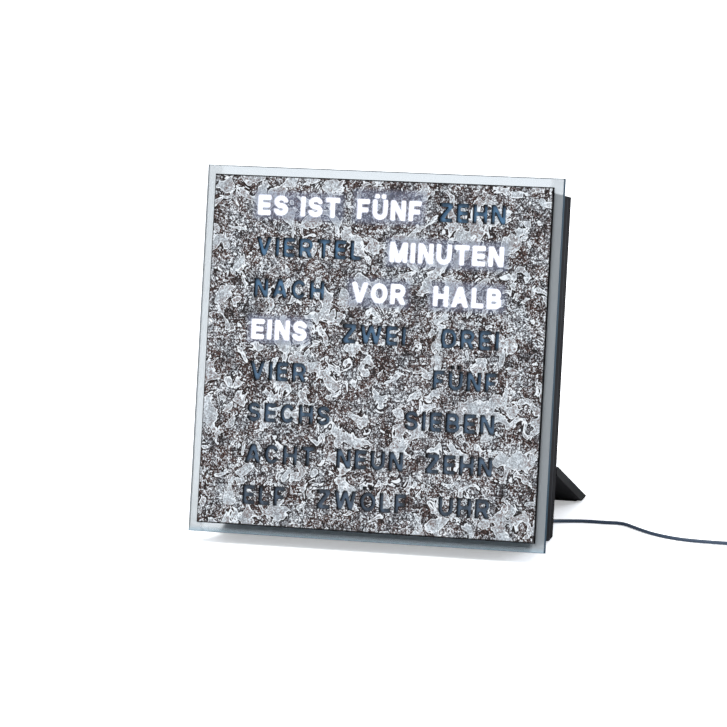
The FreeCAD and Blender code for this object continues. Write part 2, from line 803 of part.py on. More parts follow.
def make_rear_cover():
    half = s.case_width / 2 - s.case_wall - s.cover_gap
    low = s.case_low + s.sole_wall + s.cover_gap
    plate = box("CoverPlate", "case_width - 2 * case_wall - 2 * cover_gap", "cover_thick",
                "case_height - case_wall - sole_wall - 2 * cover_gap", (-half, cover_front, low))
    through = "cover_thick + 2"
    start = cover_front - 1
    tools = [rod("CoverHole%d" % i, "screw_radius + screw_clear", through, (x, start, rise))
             for i, (x, rise) in enumerate(post_places)]
    tools.append(rod("JackHole", "jack_collar + button_clear", through,
                     (s.jack_x, start, s.jack_rise)))
    for name, x in button_places():
        tools.append(rod("ButtonHole" + name, "button_radius + button_clear", through,
                         (x, start, s.button_rise)))
    for side in (-1, 1):
        x = side * s.hanger_spread / 2
        tools.append(rod("Hanger%d" % side, "hanger_radius", through, (x, start, s.hanger_rise)))
        tools.append(box("HangerSlot%d" % side, "2 * hanger_slot", through, "hanger_run",
                         (x - s.hanger_slot, start, s.hanger_rise)))
        tools.append(rod("HangerEnd%d" % side, "hanger_slot", through,
                         (x, start, s.hanger_rise + s.hanger_run)))
    for row in range(int(s.vent_count)):
        rise = s.vent_rise + (row - (s.vent_count - 1) / 2) * s.vent_pitch
        tools.append(box("Vent%d" % row, "vent_length", through, "vent_width",
                         (-s.vent_length / 2, start, rise - s.vent_width / 2)))
    for name, x in hinge_places:
        for side in (-1, 1):
            tools.append(rod("BracketHole%s%d" % (name, side),
                             "bracket_screw_radius + thread_gap", through,
                             (x + side * s.bracket_screw_spread / 2, start,
                              s.hinge_rise - s.bracket_screw_drop)))
    keep("rear_cover", cut("RearCover", plate, tools))
    keep("cover_screws", make_screws("CoverScrews", post_places, case_back, False,
                                     s.screw_length))


def make_feet():
    middle = (table_depth(case_back, s.case_low) + facet_start()) / 2
    feet = [box("Foot%d" % side, "foot_length", "foot_width", "foot_height",
                (side * s.foot_spread / 2 - s.foot_length / 2, middle - s.foot_width / 2, 0))
            for side in (-1, 1)]
    keep("base_feet", group("BaseFeet", feet), ON_TABLE)


def facet_start():
    """Depth over the table at which the case's underside meets the facet."""
    back = (s.plate_lift + s.case_low * math.cos(LEAN) - s.foot_height) / math.sin(LEAN)
    return table_depth(back, s.case_low)


# ---------------------------------------------------------------- lamps

def make_lamps(placed):
    low = middle_rise - s.grid_height / 2
    windows = word_windows(placed, s.window_margin)
    edges = (-s.grid_width / 2, low, s.grid_width / 2, low + s.grid_height)
    holes = [rectangle(*window) for window in windows]
    sheet = pierced(rectangle(*edges), holes, s.plate_thick, s.grid_sheet)
    walls = [pierced(rectangle(*edges), [rectangle(*grown(edges, -s.grid_wall))],
                     s.plate_thick, s.grid_depth)]
    for window in windows:
        walls.append(pierced(rectangle(*grown(window, s.grid_wall)), [rectangle(*window)],
                             s.plate_thick, s.grid_depth))
    keep("light_grid", solid("LightGrid", sheet.multiFuse(walls).removeSplitter()))

    main = box("LedBoardMain", "grid_width", "led_board_thick", "grid_height",
               (-s.grid_width / 2, grid_back, low))
    ears = box("LedBoardEars", "ear_width", "led_board_thick", "ear_height",
               (-s.ear_width / 2, grid_back, middle_rise - s.ear_height / 2))
    holes = [rod("LedBoardHole%d" % i, "bracket_screw_radius + screw_clear", "led_board_thick + 2",
                 (x, grid_back - 1, rise)) for i, (x, rise) in enumerate(boss_places)]
    keep("led_board", cut("LedBoard", fuse("LedBoardBlank", [main, ears]), holes))

    lamps = []
    for number, (left, base, right, top) in enumerate(windows):
        count = max(2, int((right - left) / s.led_pitch))
        for i in range(count):
            x = left + (right - left) * (i + 0.5) / count
            lamps.append(box("Led%d_%d" % (number, i), "led_side", "led_thick", "led_side",
                             (x - s.led_side / 2, grid_back - s.led_thick,
                              (base + top) / 2 - s.led_side / 2)))
    keep("leds", group("Leds", lamps))
    screws = make_screws("BoardScrews", boss_places, led_board_back, False, 7.0,
                         "bracket_screw_radius", "bracket_head_radius", "bracket_head_thick",
                         s.bracket_head_thick)
    keep("board_screws", screws)


# ---------------------------------------------------------------- control board and buttons

def make_control_board():
    left = s.control_right - s.control_width
    blank = box("ControlBlank", "control_width", "control_thick", "control_height",
                (left, control_front, s.control_low))
    corners = [(x, rise) for x in (left + s.spacer_inset, s.control_right - s.spacer_inset * 0.9)
               for rise in (s.control_low + s.spacer_inset,
                            s.control_low + s.control_height - s.spacer_inset)]
    corners = [place for place in corners if not (place[0] > s.jack_x and place[1] < s.jack_rise)]
    keep("control_board", blank)
    spacers = [rod("Spacer%d" % i, "spacer_radius", "control_gap", (x, control_back, rise))
               for i, (x, rise) in enumerate(corners)]
    keep("board_spacers", group("BoardSpacers", spacers))

    chip_x = left + 6
    chip_rise = s.control_low + 4
    keep("controller_chip", box("ControllerChip", "chip_side", "chip_thick", "chip_side",
                                (chip_x, control_front - s.chip_thick, chip_rise)))
    keep("quartz_crystal", rod("QuartzCrystal", "crystal_radius", "crystal_length",
                               (chip_x, control_front - s.crystal_radius,
                                chip_rise + s.chip_side + s.crystal_radius + 1), "x"))
    holder_x = s.control_right - s.holder_side - 1
    holder_low = s.control_low + (s.control_height - s.holder_side) / 2
    block = box("HolderBlock", "holder_side", "holder_thick", "holder_side",
                (holder_x, control_front - s.holder_thick, holder_low))
    middle = (holder_x + s.holder_side / 2, control_front - s.cell_thick - 0.6,
              holder_low + s.holder_side / 2)
    seat = rod("HolderSeat", "cell_radius + 0.2", "cell_thick", middle)
    slit = box("HolderMouth", "2 * cell_radius - 4", "holder_thick", "holder_side",
               (holder_x + s.holder_side / 2 - s.cell_radius + 2,
                control_front - s.holder_thick - 1.2, holder_low + s.holder_side * 0.3))
    keep("cell_holder", cut("CellHolder", block, [seat, slit]))
    keep("backup_cell", rod("BackupCell", "cell_radius", "cell_thick", middle))


def make_ribbon():
    span = control_front - led_board_back
    left = s.ribbon_x - s.socket_width / 2
    low = s.ribbon_rise - s.socket_height / 2
    sockets = [box("LedSocket", "socket_width", "socket_depth", "socket_height",
                   (left, led_board_back, low)),
               box("ControlSocket", "socket_width", "socket_depth", "socket_height",
                   (left, control_front - s.socket_depth, low))]
    keep("ribbon_sockets", group("RibbonSockets", sockets))
    ribbon = doc.addObject("Part::Box", "RibbonCable")
    bind(ribbon, Length="ribbon_width", Height="ribbon_thick")
    ribbon.Width = span - 2 * s.socket_depth
    ribbon.Placement.Base = V(s.ribbon_x - s.ribbon_width / 2, led_board_back + s.socket_depth,
                              s.ribbon_rise - s.ribbon_thick / 2)
    keep("ribbon_cable", ribbon)


def make_buttons():
    switch_back = control_back + s.switch_thick
    flange_front = cover_front - s.button_flange
    blocks = []
    for name, x in button_places():
        block = box("Switch" + name, "switch_side", "switch_thick", "switch_side",
                    (x - s.switch_side / 2, control_back, s.button_rise - s.switch_side / 2))
        well = rod("SwitchWell" + name, "stem_radius + button_clear", "2 * button_travel",
                   (x, switch_back - 2 * s.button_travel + 0.001, s.button_rise))
        blocks.append(cut("SwitchBody" + name, block, [well]))
        stem_front = switch_back - s.button_travel * 0.9
        stem = doc.addObject("Part::Cylinder", "Stem" + name)
        bind(stem, Radius="stem_radius")
        stem.Height = flange_front - stem_front
        stem.Placement = App.Placement(V(x, stem_front, s.button_rise), ALONG["y"])
        keep("key_stem_" + name, stem)
        make_button(name, x, flange_front)
    keep("key_switches", group("KeySwitches", blocks))


def make_button(name, x, flange_front):
    """A round cap with a flange that holds it behind the cover."""
    body = doc.addObject("PartDesign::Body", "Button" + name)
    profile = new_sketch(body, "ButtonProfile" + name, "XY_Plane")
    cap = s.button_radius
    flange = s.button_radius + 0.9
    top = s.button_flange + s.cover_thick + s.button_proud
    points = [V(0, 0, 0), V(flange, 0, 0), V(flange, s.button_flange, 0),
              V(cap, s.button_flange, 0), V(cap, top - 0.5, 0), V(cap - 0.5, top, 0),
              V(0, top - 0.25, 0)]
    for start, end in zip(points, points[1:] + points[:1]):
        profile.addGeometry(Part.LineSegment(start, end), False)
    turned = body.newObject("PartDesign::Revolution", "ButtonTurned" + name)
    turned.Profile = profile
    turned.ReferenceAxis = (profile, ["V_Axis"])
    turned.Angle = 360
    doc.recompute()
    body.Placement.Base = V(x, flange_front, s.button_rise)
    keep("button_" + name, body)


# ---------------------------------------------------------------- power

def make_jack_and_plug():
    side = s.jack_side
    body = box("JackBody", "jack_side", "control_gap", "jack_side",
               (s.jack_x - side / 2, control_back, s.jack_rise - side / 2))
    collar = rod("JackCollar", "jack_collar", "cover_thick", (s.jack_x, cover_front, s.jack_rise))
    mouth = case_back
    bore = rod("JackBore", "jack_bore", "plug_barrel_length + 0.4",
               (s.jack_x, mouth - s.plug_barrel_length - 0.4, s.jack_rise))
    keep("dc_jack", cut("DcJack", fuse("JackBlank", [body, collar]), [bore]))
    keep("plug_barrel", rod("PlugBarrel", "plug_barrel_radius", "plug_barrel_length",
                            (s.jack_x, mouth - s.plug_barrel_length, s.jack_rise)))
    grip = rod("PlugGrip", "plug_body_radius", "plug_body_length",
               (s.jack_x, mouth, s.jack_rise))
    relief = cone("PlugRelief", "plug_body_radius * 0.72", "cord_radius + 0.35",
                  "plug_relief_length", (s.jack_x, mouth + s.plug_body_length, s.jack_rise))
    keep("plug_body", fuse("PlugBody", [grip, relief]))


def rounded_path(points):
    """Straight runs joined by arcs, each as large as its two runs allow, with the radii."""
    edges = []
    radii = []
    last = points[0]
    for before, corner, after in zip(points, points[1:], points[2:]):
        towards = (before - corner).normalize()
        away = (after - corner).normalize()
        reach = 0.45 * min((before - corner).Length, (after - corner).Length)
        half_turn = (math.pi - towards.getAngle(away)) / 2
        radius = reach / math.tan(half_turn)
        start = corner + towards * reach
        end = corner + away * reach
        inside = (towards + away).normalize()
        middle = corner + inside * (radius / math.cos(half_turn) - radius)
        edges.append(Part.LineSegment(last, start).toShape())
        edges.append(Part.Arc(start, middle, end).toShape())
        radii.append(radius)
        last = end
    edges.append(Part.LineSegment(last, points[-1]).toShape())
    return Part.Wire(edges), radii


def tube(points):
    path, radii = rounded_path(points)
    direction = (points[1] - points[0]).normalize()
    ring = Part.Wire(Part.Circle(points[0], direction, s.cord_radius).toShape())
    shape = path.makePipeShell([ring], True, False)
    expected = math.pi * s.cord_radius ** 2 * path.Length
    print("cord %.1f mm long, radii %s, volume ratio %.4f" % (
        path.Length, " ".join("%.1f" % radius for radius in radii), shape.Volume / expected))
    return shape


def behind_jack(back):
    return V(s.jack_x, table_depth(back, s.jack_rise), table_height(back, s.jack_rise))


def make_cord():
    coil_x, coil_depth = COIL_PLACE
    entry = V(coil_x - s.coil_stub, coil_depth - s.coil_exit, s.coil_lift + s.cord_radius)
    plug_end = case_back + s.plug_body_length + s.plug_relief_length
    route = [behind_jack(plug_end), behind_jack(plug_end + s.plug_lead)]
    route += [V(*place) for place in CORD_ROUTE]
    route += [entry - V(s.coil_lead, 0, 0), entry]
    keep("power_cord", solid("PowerCord", tube(route)), ON_TABLE)

    ring = cut("CoilRing",
               rod("CoilOuter", "coil_radius + coil_section / 2", "coil_tall",
                   (coil_x, coil_depth, s.coil_lift), "z"),
               [rod("CoilInner", "coil_radius - coil_section / 2", "coil_tall + 2",
                    (coil_x, coil_depth, s.coil_lift - 1), "z")])
    doc.recompute()
    turns = doc.addObject("Part::Fillet", "CoilTurns")
    turns.Base = ring
    turns.Edges = [(number, s.coil_round, s.coil_round)
                   for number, edge in enumerate(ring.Shape.Edges, start=1)
                   if edge.Curve.TypeId == "Part::GeomCircle"]
    tail_height = s.end_body_thick / 2
    ends = [rod("CoilEntry", "cord_radius", "coil_stub", tuple(entry), "x"),
            rod("CoilExit", "cord_radius", "coil_stub",
                (coil_x + s.coil_exit, coil_depth, tail_height))]
    keep("cord_coil", fuse("CordCoil", [turns] + ends), ON_TABLE)

    half = s.coil_section / 2
    inside = math.sqrt((s.coil_radius - half) ** 2 - (s.tie_width / 2) ** 2) - 0.02
    outside = s.coil_radius + half + 0.02
    span = outside - inside
    outer = box("TieOuter", str(span + 2 * s.tie_thick), "tie_width", "coil_tall + 2 * tie_thick",
                (coil_x - outside - s.tie_thick, coil_depth - s.tie_width / 2,
                 s.coil_lift - s.tie_thick))
    hollow = box("TieHollow", str(span), "tie_width + 2", "coil_tall + 0.02",
                 (coil_x - outside, coil_depth - s.tie_width / 2 - 1, s.coil_lift - 0.01))
    tie = cut("CoilTie", outer, [hollow])
    keep("coil_tie", tie, ON_TABLE)

    tail_x = coil_x + s.coil_exit
    tail_start = coil_depth + s.coil_stub
    keep("cord_tail", rod("CordTail", "cord_radius", "tail_length",
                          (tail_x, tail_start, tail_height)), ON_TABLE)
    body_start = tail_start + s.tail_length
    keep("end_plug_body", box("EndPlugBody", "end_body_width", "end_body_length",
                              "end_body_thick",
                              (tail_x - s.end_body_width / 2, body_start, 0)), ON_TABLE)
    shell_start = body_start + s.end_body_length
    outer = box("EndShellOuter", "end_shell_width", "end_shell_length", "end_shell_thick",
                (tail_x - s.end_shell_width / 2, shell_start, tail_height - s.end_shell_thick / 2))
    inner = box("EndShellInner", "end_shell_width - 2 * end_shell_wall", "end_shell_length",
                "end_shell_thick / 2 - end_shell_wall",
                (tail_x - s.end_shell_width / 2 + s.end_shell_wall, shell_start + 1, tail_height))
    keep("end_plug_shell", cut("EndPlugShell", outer, [inner]), ON_TABLE)


# ---------------------------------------------------------------- stand

def make_bracket(name, x):
    """A screwed-on plate with two ears, and a bar between them that the stand comes down on."""
    span = s.barrel_length + 2 * s.washer_thick + 2 * s.ear_thick
    base = box("BracketBase" + name,
               "barrel_length + 2 * washer_thick + 2 * ear_thick + 2 * bracket_margin",
               "bracket_base", "bracket_drop + bracket_top",
               (x - span / 2 - s.bracket_margin, case_back, s.hinge_rise - s.bracket_drop))
    stop_rest = s.stand_thick / 2 + s.stop_gap
    pieces = [base]
    tilt = App.Rotation(V(1, 0, 0), -(s.stand_slope - s.lean_angle))
    hinge = V(0, hinge_back, s.hinge_rise)
    for side in (-1, 1):
        left = x + side * (span - s.ear_thick) / 2 - s.ear_thick / 2
        tag = "%s%d" % (name, side)
        pieces.append(rod("Ear" + tag, "barrel_radius", "ear_thick",
                          (left, hinge_back, s.hinge_rise), "x"))
        pieces.append(box("EarRoot" + tag, "ear_thick", "hinge_standoff", "2 * barrel_radius",
                          (left, case_back, s.hinge_rise - s.barrel_radius)))
        lobe = box("EarLobe" + tag, "ear_thick", "stop_end",
                   "stand_thick / 2 + stop_gap + stop_thick", (0, 0, 0))
        lobe.Placement = App.Placement(
            V(left, 0, 0) + hinge + tilt.multVec(V(0, 0, -stop_rest - s.stop_thick)), tilt)
        pieces.append(lobe)
    bar_block = box("StopBar" + name, "barrel_length + 2 * washer_thick + ear_thick",
                    "stop_end - stop_start", "stop_thick", (0, 0, 0))
    bar_block.Placement = App.Placement(
        V(x - (span - s.ear_thick) / 2, 0, 0) + hinge
        + tilt.multVec(V(0, s.stop_start, -stop_rest - s.stop_thick)), tilt)
    pieces.append(bar_block)
    tools = [rod("BracketBore" + name, "pin_radius + pin_clear", str(span + 2),
                 (x - span / 2 - 1, hinge_back, s.hinge_rise), "x")]
    for side in (-1, 1):
        tools.append(rod("BracketScrewHole%s%d" % (name, side),
                         "bracket_screw_radius + screw_clear", "bracket_base + 2",
                         (x + side * s.bracket_screw_spread / 2, case_back - 1,
                          s.hinge_rise - s.bracket_screw_drop)))
    keep("hinge_bracket_" + name, cut("Bracket" + name, fuse("BracketBlank" + name, pieces), tools))


def make_stand():
    for name, x in hinge_places:
        make_bracket(name, x)
    places = [(x + side * s.bracket_screw_spread / 2, s.hinge_rise - s.bracket_screw_drop)
              for _, x in hinge_places for side in (-1, 1)]
    keep("bracket_screws", make_screws("BracketScrews", places, case_back + s.bracket_base, False,
                                       s.bracket_screw_length, "bracket_screw_radius",
                                       "bracket_head_radius", "bracket_head_thick",
                                       s.bracket_head_thick))
    washers = []
    for name, x in hinge_places:
        for side in (-1, 1):
            left = x + side * (s.barrel_length + s.washer_thick) / 2 - s.washer_thick / 2
            disc = rod("WasherDisc%s%d" % (name, side), "barrel_radius", "washer_thick",
                       (left, hinge_back, s.hinge_rise), "x")
            hole = rod("WasherHole%s%d" % (name, side), "pin_radius + pin_clear",
                       "washer_thick + 2", (left - 1, hinge_back, s.hinge_rise), "x")
            washers.append(cut("Washer%s%d" % (name, side), disc, [hole]))
    keep("friction_washers", group("FrictionWashers", washers))
    make_stand_flap()


def make_stand_flap():
    """The stand lies along Y from its hinge axis, and its underside is towards -Z."""
    half = s.stand_thick / 2
    reach = stand_reach(1, 0)
    slab = box("FlapSlab", "stand_width", str(reach), "stand_thick", (-s.stand_width / 2, 0, -half))
    edge = rod("FlapEdge", "stand_thick / 2", "stand_width", (-s.stand_width / 2, 0, 0), "x")
    notches = []
    for name, x in hinge_places:
        wide = (s.barrel_length + 2 * s.washer_thick + 2 * s.ear_thick) / 2 + s.notch_gap
        notches.append(box("Notch" + name,
                           "barrel_length + 2 * washer_thick + 2 * ear_thick + 2 * notch_gap",
                           "stand_root + stand_thick", "stand_thick + 2",
                           (x - wide, -s.stand_thick, -half - 1)))
    parts = [cut("FlapNotched", fuse("FlapSheet", [slab, edge]), notches)]
    for name, x in hinge_places:
        left = x - s.barrel_length / 2
        parts.append(rod("Barrel" + name, "barrel_radius", "barrel_length", (left, 0, 0), "x"))
        parts.append(box("Neck" + name, "barrel_length", "stand_root + 2", "stand_thick",
                         (left, 0, -half)))
    tools = [rod("FlapBore" + name, "pin_radius", "barrel_length + 2",
                 (x - s.barrel_length / 2 - 1, 0, 0), "x") for name, x in hinge_places]
    table = box("FlapTable", "stand_width + 20", str(2 * reach), str(reach), (0, 0, 0))
    to_stand = App.Placement(V(0, hinge_depth, hinge_height),
                             App.Rotation(V(1, 0, 0), -s.stand_slope)).inverse()
    table.Placement = to_stand.multiply(App.Placement(
        V(-s.stand_width / 2 - 10, hinge_depth, s.stand_pad_thick - reach), App.Rotation()))
    tools.append(table)
    keep("stand_flap", cut("StandFlap", fuse("FlapBlank", parts), tools), STANDING)

    pins = [rod("Pin" + name, "pin_radius",
                "barrel_length + 2 * washer_thick + 2 * ear_thick",
                (x - s.barrel_length / 2 - s.washer_thick - s.ear_thick, 0, 0), "x")
            for name, x in hinge_places]
    keep("hinge_pins", group("HingePins", pins), STANDING)

    section = []
    for side, height in ((-1, s.stand_pad_thick), (-1, 0.0), (1, 0.0), (1, s.stand_pad_thick)):
        section.append(V(-s.stand_width / 2 + s.stand_pad_inset,
                         stand_depth(stand_reach(side, height), side), height))
    outline = doc.addObject("Part::Polygon", "PadOutline")
    outline.Nodes = section
    outline.Close = True
    strip = doc.addObject("Part::Extrusion", "StandPad")
    strip.Base = outline
    strip.DirMode = "Custom"
    strip.Dir = V(1, 0, 0)
    bind(strip, LengthFwd="stand_width - 2 * stand_pad_inset")
    strip.Solid = True
    keep("stand_pad", strip, ON_TABLE)


# ---------------------------------------------------------------- build, check and write

def check_and_write():
    doc.recompute()
    failed = [obj.Name for obj in doc.Objects if {"Invalid", "Error"} & set(obj.State)]
    if failed:
        raise RuntimeError("failed objects: " + ", ".join(failed))
    os.makedirs("parts", exist_ok=True)
    for obj in nodes:
        shape = obj.Shape
        if shape.isNull() or not shape.isValid() or not shape.Solids:
            raise RuntimeError(obj.Label + " has no valid solid")
    for obj in nodes:
        obj.Shape.exportStep(os.path.join("parts", obj.Label + ".step"))
        room = obj.Shape.BoundBox
        print("%-20s %3d solids  x %7.1f %7.1f  y %7.1f %7.1f  z %7.1f %7.1f" % (
            obj.Label, len(obj.Shape.Solids), room.XMin, room.XMax, room.YMin, room.YMax,
            room.ZMin, room.ZMax))


words = place_words()
make_front_plate()
make_face(words)
make_plate_screws()
make_case_shell()
make_rear_cover()
make_feet()
make_lamps(words)
make_control_board()
make_ribbon()
make_buttons()
make_jack_and_plug()
make_stand()
make_cord()
check_and_write()
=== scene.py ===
"""Finish of a table word clock: surfaces, small shaped parts, cord, floor, lights and camera.

"Clock axes" are in millimetres: X to the viewer's right, Y back from the clear plate's front and
Z up along the plate. CLOCK_TO_TABLE leans them back and sets them on the table.
"""
import math

import bmesh
import bpy
from mathutils import Matrix, Vector


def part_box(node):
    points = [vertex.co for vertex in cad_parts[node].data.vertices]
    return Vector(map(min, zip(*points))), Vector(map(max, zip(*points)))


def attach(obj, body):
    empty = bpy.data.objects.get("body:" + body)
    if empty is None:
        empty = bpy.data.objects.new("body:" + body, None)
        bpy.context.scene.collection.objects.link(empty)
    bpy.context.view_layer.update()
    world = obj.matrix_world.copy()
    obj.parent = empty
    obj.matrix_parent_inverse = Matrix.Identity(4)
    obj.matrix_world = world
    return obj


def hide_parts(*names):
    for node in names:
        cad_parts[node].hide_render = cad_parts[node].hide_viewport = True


bl_info = {
    "name": "Word Clock Finish",
    "version": (1, 0, 0),
    "blender": (4, 5, 0),
    "location": "View3D > Sidebar > Word Clock",
    "description": "Gives the word clock its surfaces, small shaped parts, cord and studio",
    "category": "Object",
}

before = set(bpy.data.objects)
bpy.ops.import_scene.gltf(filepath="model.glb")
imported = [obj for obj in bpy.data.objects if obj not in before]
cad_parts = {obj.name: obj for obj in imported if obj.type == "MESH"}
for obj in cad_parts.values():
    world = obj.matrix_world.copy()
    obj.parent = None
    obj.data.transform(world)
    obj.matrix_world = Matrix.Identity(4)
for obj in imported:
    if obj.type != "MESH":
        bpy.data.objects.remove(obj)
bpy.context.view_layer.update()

MM = 0.001
LEAN = math.radians(16.0)
PLATE_SIDE = 225.0
ORIGIN_DEPTH = 72.833      # the plate's lower front edge is this far in front of the origin
PLATE_LIFT = 8.0           # and this far above the table
CLOCK_TO_TABLE = (Matrix.Translation((0, -ORIGIN_DEPTH, PLATE_LIFT))
                  @ Matrix.Rotation(-LEAN, 4, "X"))
CASE_BACK = 56.0           # the case's back behind the plate's front
PLUG_X, PLUG_RISE = 92.0, 17.0     # the plug in the clock's back, in clock axes

# Words that are lit, as left, low, right and high edges in clock axes.
LIT_WORDS = (
    (-78.8, 194.9, -25.6, 208.1),
    (-15.6, 194.9, 25.7, 211.4),
    (6.4, 169.6, 78.8, 182.8),
    (-16.4, 144.3, 18.9, 157.5),
    (35.1, 144.3, 78.8, 157.5),
    (-78.8, 119.0, -42.3, 132.2),
)
WORD_FRINGE = 0.4          # the lamps light the film this far past a word
# painted reflection: the film lightens towards the top between these heights
FILM_LIGHT_RISE = (30.0, 185.0)  # heights between which the film goes from its low to its high colour


def linear(hex_code):
    """Linear colour of an sRGB hex code."""
    parts = [int(hex_code[i:i + 2], 16) / 255 for i in (1, 3, 5)]
    return [c / 12.92 if c <= 0.04045 else ((c + 0.055) / 1.055) ** 2.4 for c in parts] + [1.0]


def tint(name, hex_code, about):
    return bpy.props.FloatVectorProperty(name=name, description=about, subtype="COLOR", size=4,
                                         min=0.0, max=1.0, default=linear(hex_code))


def size(name, millimetres, about):
    return bpy.props.FloatProperty(name=name, description=about, unit="LENGTH", min=0.0,
                                   default=millimetres * MM)


def amount(name, value, about, **more):
    return bpy.props.FloatProperty(name=name, description=about, min=0.0, default=value, **more)


class FaceSettings(bpy.types.PropertyGroup):
    """Colours and sizes of the stone face and its words"""
    rust: tint("Rust", "#CDA08E", "Tint of the rusty patches in the stone")
    patch: size("Patch", 10.0, "Usual width of a pale weathered patch")
    grain: size("Grain", 1.5, "Usual width of a mineral grain")
    # film colours at the bottom and at the top, whose difference is a painted reflection
    film_top_reflection: tint("Film, upper rows", "#5E92BE", "Film behind the upper words")
    film_bottom_shade: tint("Film, lower rows", "#5B7088", "Film behind the lower words")
    glow: tint("Word light", "#FFFFFF", "Light of the words that show the time")
    power: amount("Word brightness", 1.5, "Strength of the lit words")
    haze: tint("Haze", "#68728C", "Light that spills on the stone round the lit words")
    haze_reach: size("Haze reach", 4.0, "How far the light spills from a lit word")


class CaseSettings(bpy.types.PropertyGroup):
    """Colours of the plate, the case, the stand and the small parts"""
    plate: tint("Clear plate", "#E5EAED", "Tint of the clear plate")
    plate_edge: tint("Plate edge", "#163A4C", "Tint of the plate's edges")
    paint: tint("Case paint", "#131315", "Powder coat of the case and its cover")
    stand: tint("Stand", "#0D0D0E", "Anodised stand and hinge brackets")


class CordSettings(bpy.types.PropertyGroup):
    """Colour and sizes of the power cord"""
    sleeve: tint("Sleeve", "#3A4A5E", "The cord's sleeve")
    diameter: size("Diameter", 2.2, "The cord's diameter")
    coil_radius: size("Coil radius", 13.0, "Middle of the put-away turns")


class StudioSettings(bpy.types.PropertyGroup):
    """Floor, light and camera"""
    floor: tint("Floor", "#F4F5F6", "Paper under the clock")
    floor_gain: amount("Floor gain", 3.4, "How much whiter the paper reads than it is lit")
    glass_gain: amount("Floor gain in glass", 1.35,
                       "The same for the paper seen in reflections and through the plate")
    floor_glow: amount("Floor glow", 0.4, "Share of the paper's white that no shadow reaches",
                       max=1.0)
    ambient: amount("Ambient light", 0.6, "Strength of the light from all round")
    key: amount("Key light", 33.0, "Power of the large light at the upper left",
                subtype="POWER")
    fill: amount("Fill light", 9.0, "Power of the light at the right", subtype="POWER")
    lens: amount("Lens", 215.76, "Focal length of the camera in millimetres")


# ---------------------------------------------------------------- materials

COLOURS = {"output": 2, "data_type": "RGBA"}       # a Mix node that mixes colours
NOISE_SPAN = {"From Min": 0.3, "From Max": 0.7}    # where nearly all of a noise's values lie


def add_node(tree, kind, inputs=None, output=0, stops=(), **settings):
    """Add a node with its settings, inputs and ramp stops, and give one of its outputs."""
    node = tree.nodes.new("ShaderNode" + kind)
    for name, value in settings.items():
        setattr(node, name, value)
    for name, value in (inputs or {}).items():
        if isinstance(value, bpy.types.NodeSocket):
            tree.links.new(value, node.inputs[name])
        else:
            node.inputs[name].default_value = value
    for number, (position, hex_code) in enumerate(stops):
        steps = node.color_ramp.elements
        if number == 0:
            step = steps[0]
        else:
            step = steps[-1] if position == 1.0 else steps.new(position)
        step.color = linear(hex_code)
    return node.outputs[output] if len(node.outputs) else None


def start_material(name):
    """A new material with an empty node tree, and the tree."""
    material = bpy.data.materials.new(name)
    material.use_nodes = True
    material.node_tree.nodes.clear()
    return material, material.node_tree


def clock_point(tree, stretch=(1.0, 1.0, 1.0)):
    """Place on the clock in clock axes, in millimetres."""
    turned = add_node(tree, "Mapping", {
        "Vector": add_node(tree, "TexCoord", output="Object"), "Rotation": (LEAN, 0, 0),
        "Location": CLOCK_TO_TABLE.inverted().to_translation() * MM})
    return add_node(tree, "Mapping", {
        "Vector": turned, "Scale": tuple(1000.0 * way for way in stretch)})


def word_light(tree, point, reach):
    """1 inside the box of a lit word, falling to 0 at reach millimetres outside it."""
    flat = add_node(tree, "VectorMath", {0: point, 1: (1.0, 0.0, 1.0)}, operation="MULTIPLY")
    light = None
    for left, low, right, high in LIT_WORDS:
        middle = ((left + right) / 2, 0.0, (low + high) / 2)
        half = ((right - left) / 2, 0.0, (high - low) / 2)
        away = add_node(tree, "VectorMath", {0: flat, 1: middle}, operation="SUBTRACT")
        away = add_node(tree, "VectorMath", {0: away}, operation="ABSOLUTE")
        away = add_node(tree, "VectorMath", {0: away, 1: half}, operation="SUBTRACT")
        away = add_node(tree, "VectorMath", {0: away, 1: (0, 0, 0)}, operation="MAXIMUM")
        gap = add_node(tree, "VectorMath", {0: away}, "Value", operation="LENGTH")
        near = add_node(tree, "MapRange", {
            "Value": gap, "From Min": 0.0, "From Max": reach, "To Min": 1.0, "To Max": 0.0},
            interpolation_type="SMOOTHSTEP")
        light = near if light is None else add_node(
            tree, "Math", {0: light, 1: near}, operation="MAXIMUM")
    return light


def cut_walls(tree):
    """1 on the walls of the cut letters, 0 on the front and the back of the sheet."""
    normal = add_node(tree, "TexCoord", output="Normal")
    facing = add_node(tree, "VectorMath", {
        0: normal, 1: (0.0, math.cos(LEAN), -math.sin(LEAN))}, "Value",
        operation="DOT_PRODUCT")
    facing = add_node(tree, "Math", {0: facing}, operation="ABSOLUTE")
    return add_node(tree, "MapRange", {
        "Value": facing, "From Min": 0.35, "From Max": 0.65, "To Min": 1.0, "To Max": 0.0})


def line_at(tree, value, level, inner, outer, strength=1.0):
    """strength where a value is within inner of a level, falling to 0 at outer from it."""
    away = add_node(tree, "Math", {0: value, 1: level}, operation="SUBTRACT")
    away = add_node(tree, "Math", {0: away}, operation="ABSOLUTE")
    return add_node(tree, "MapRange", {"Value": away, "From Min": inner, "From Max": outer,
                                       "To Min": strength, "To Max": 0.0})


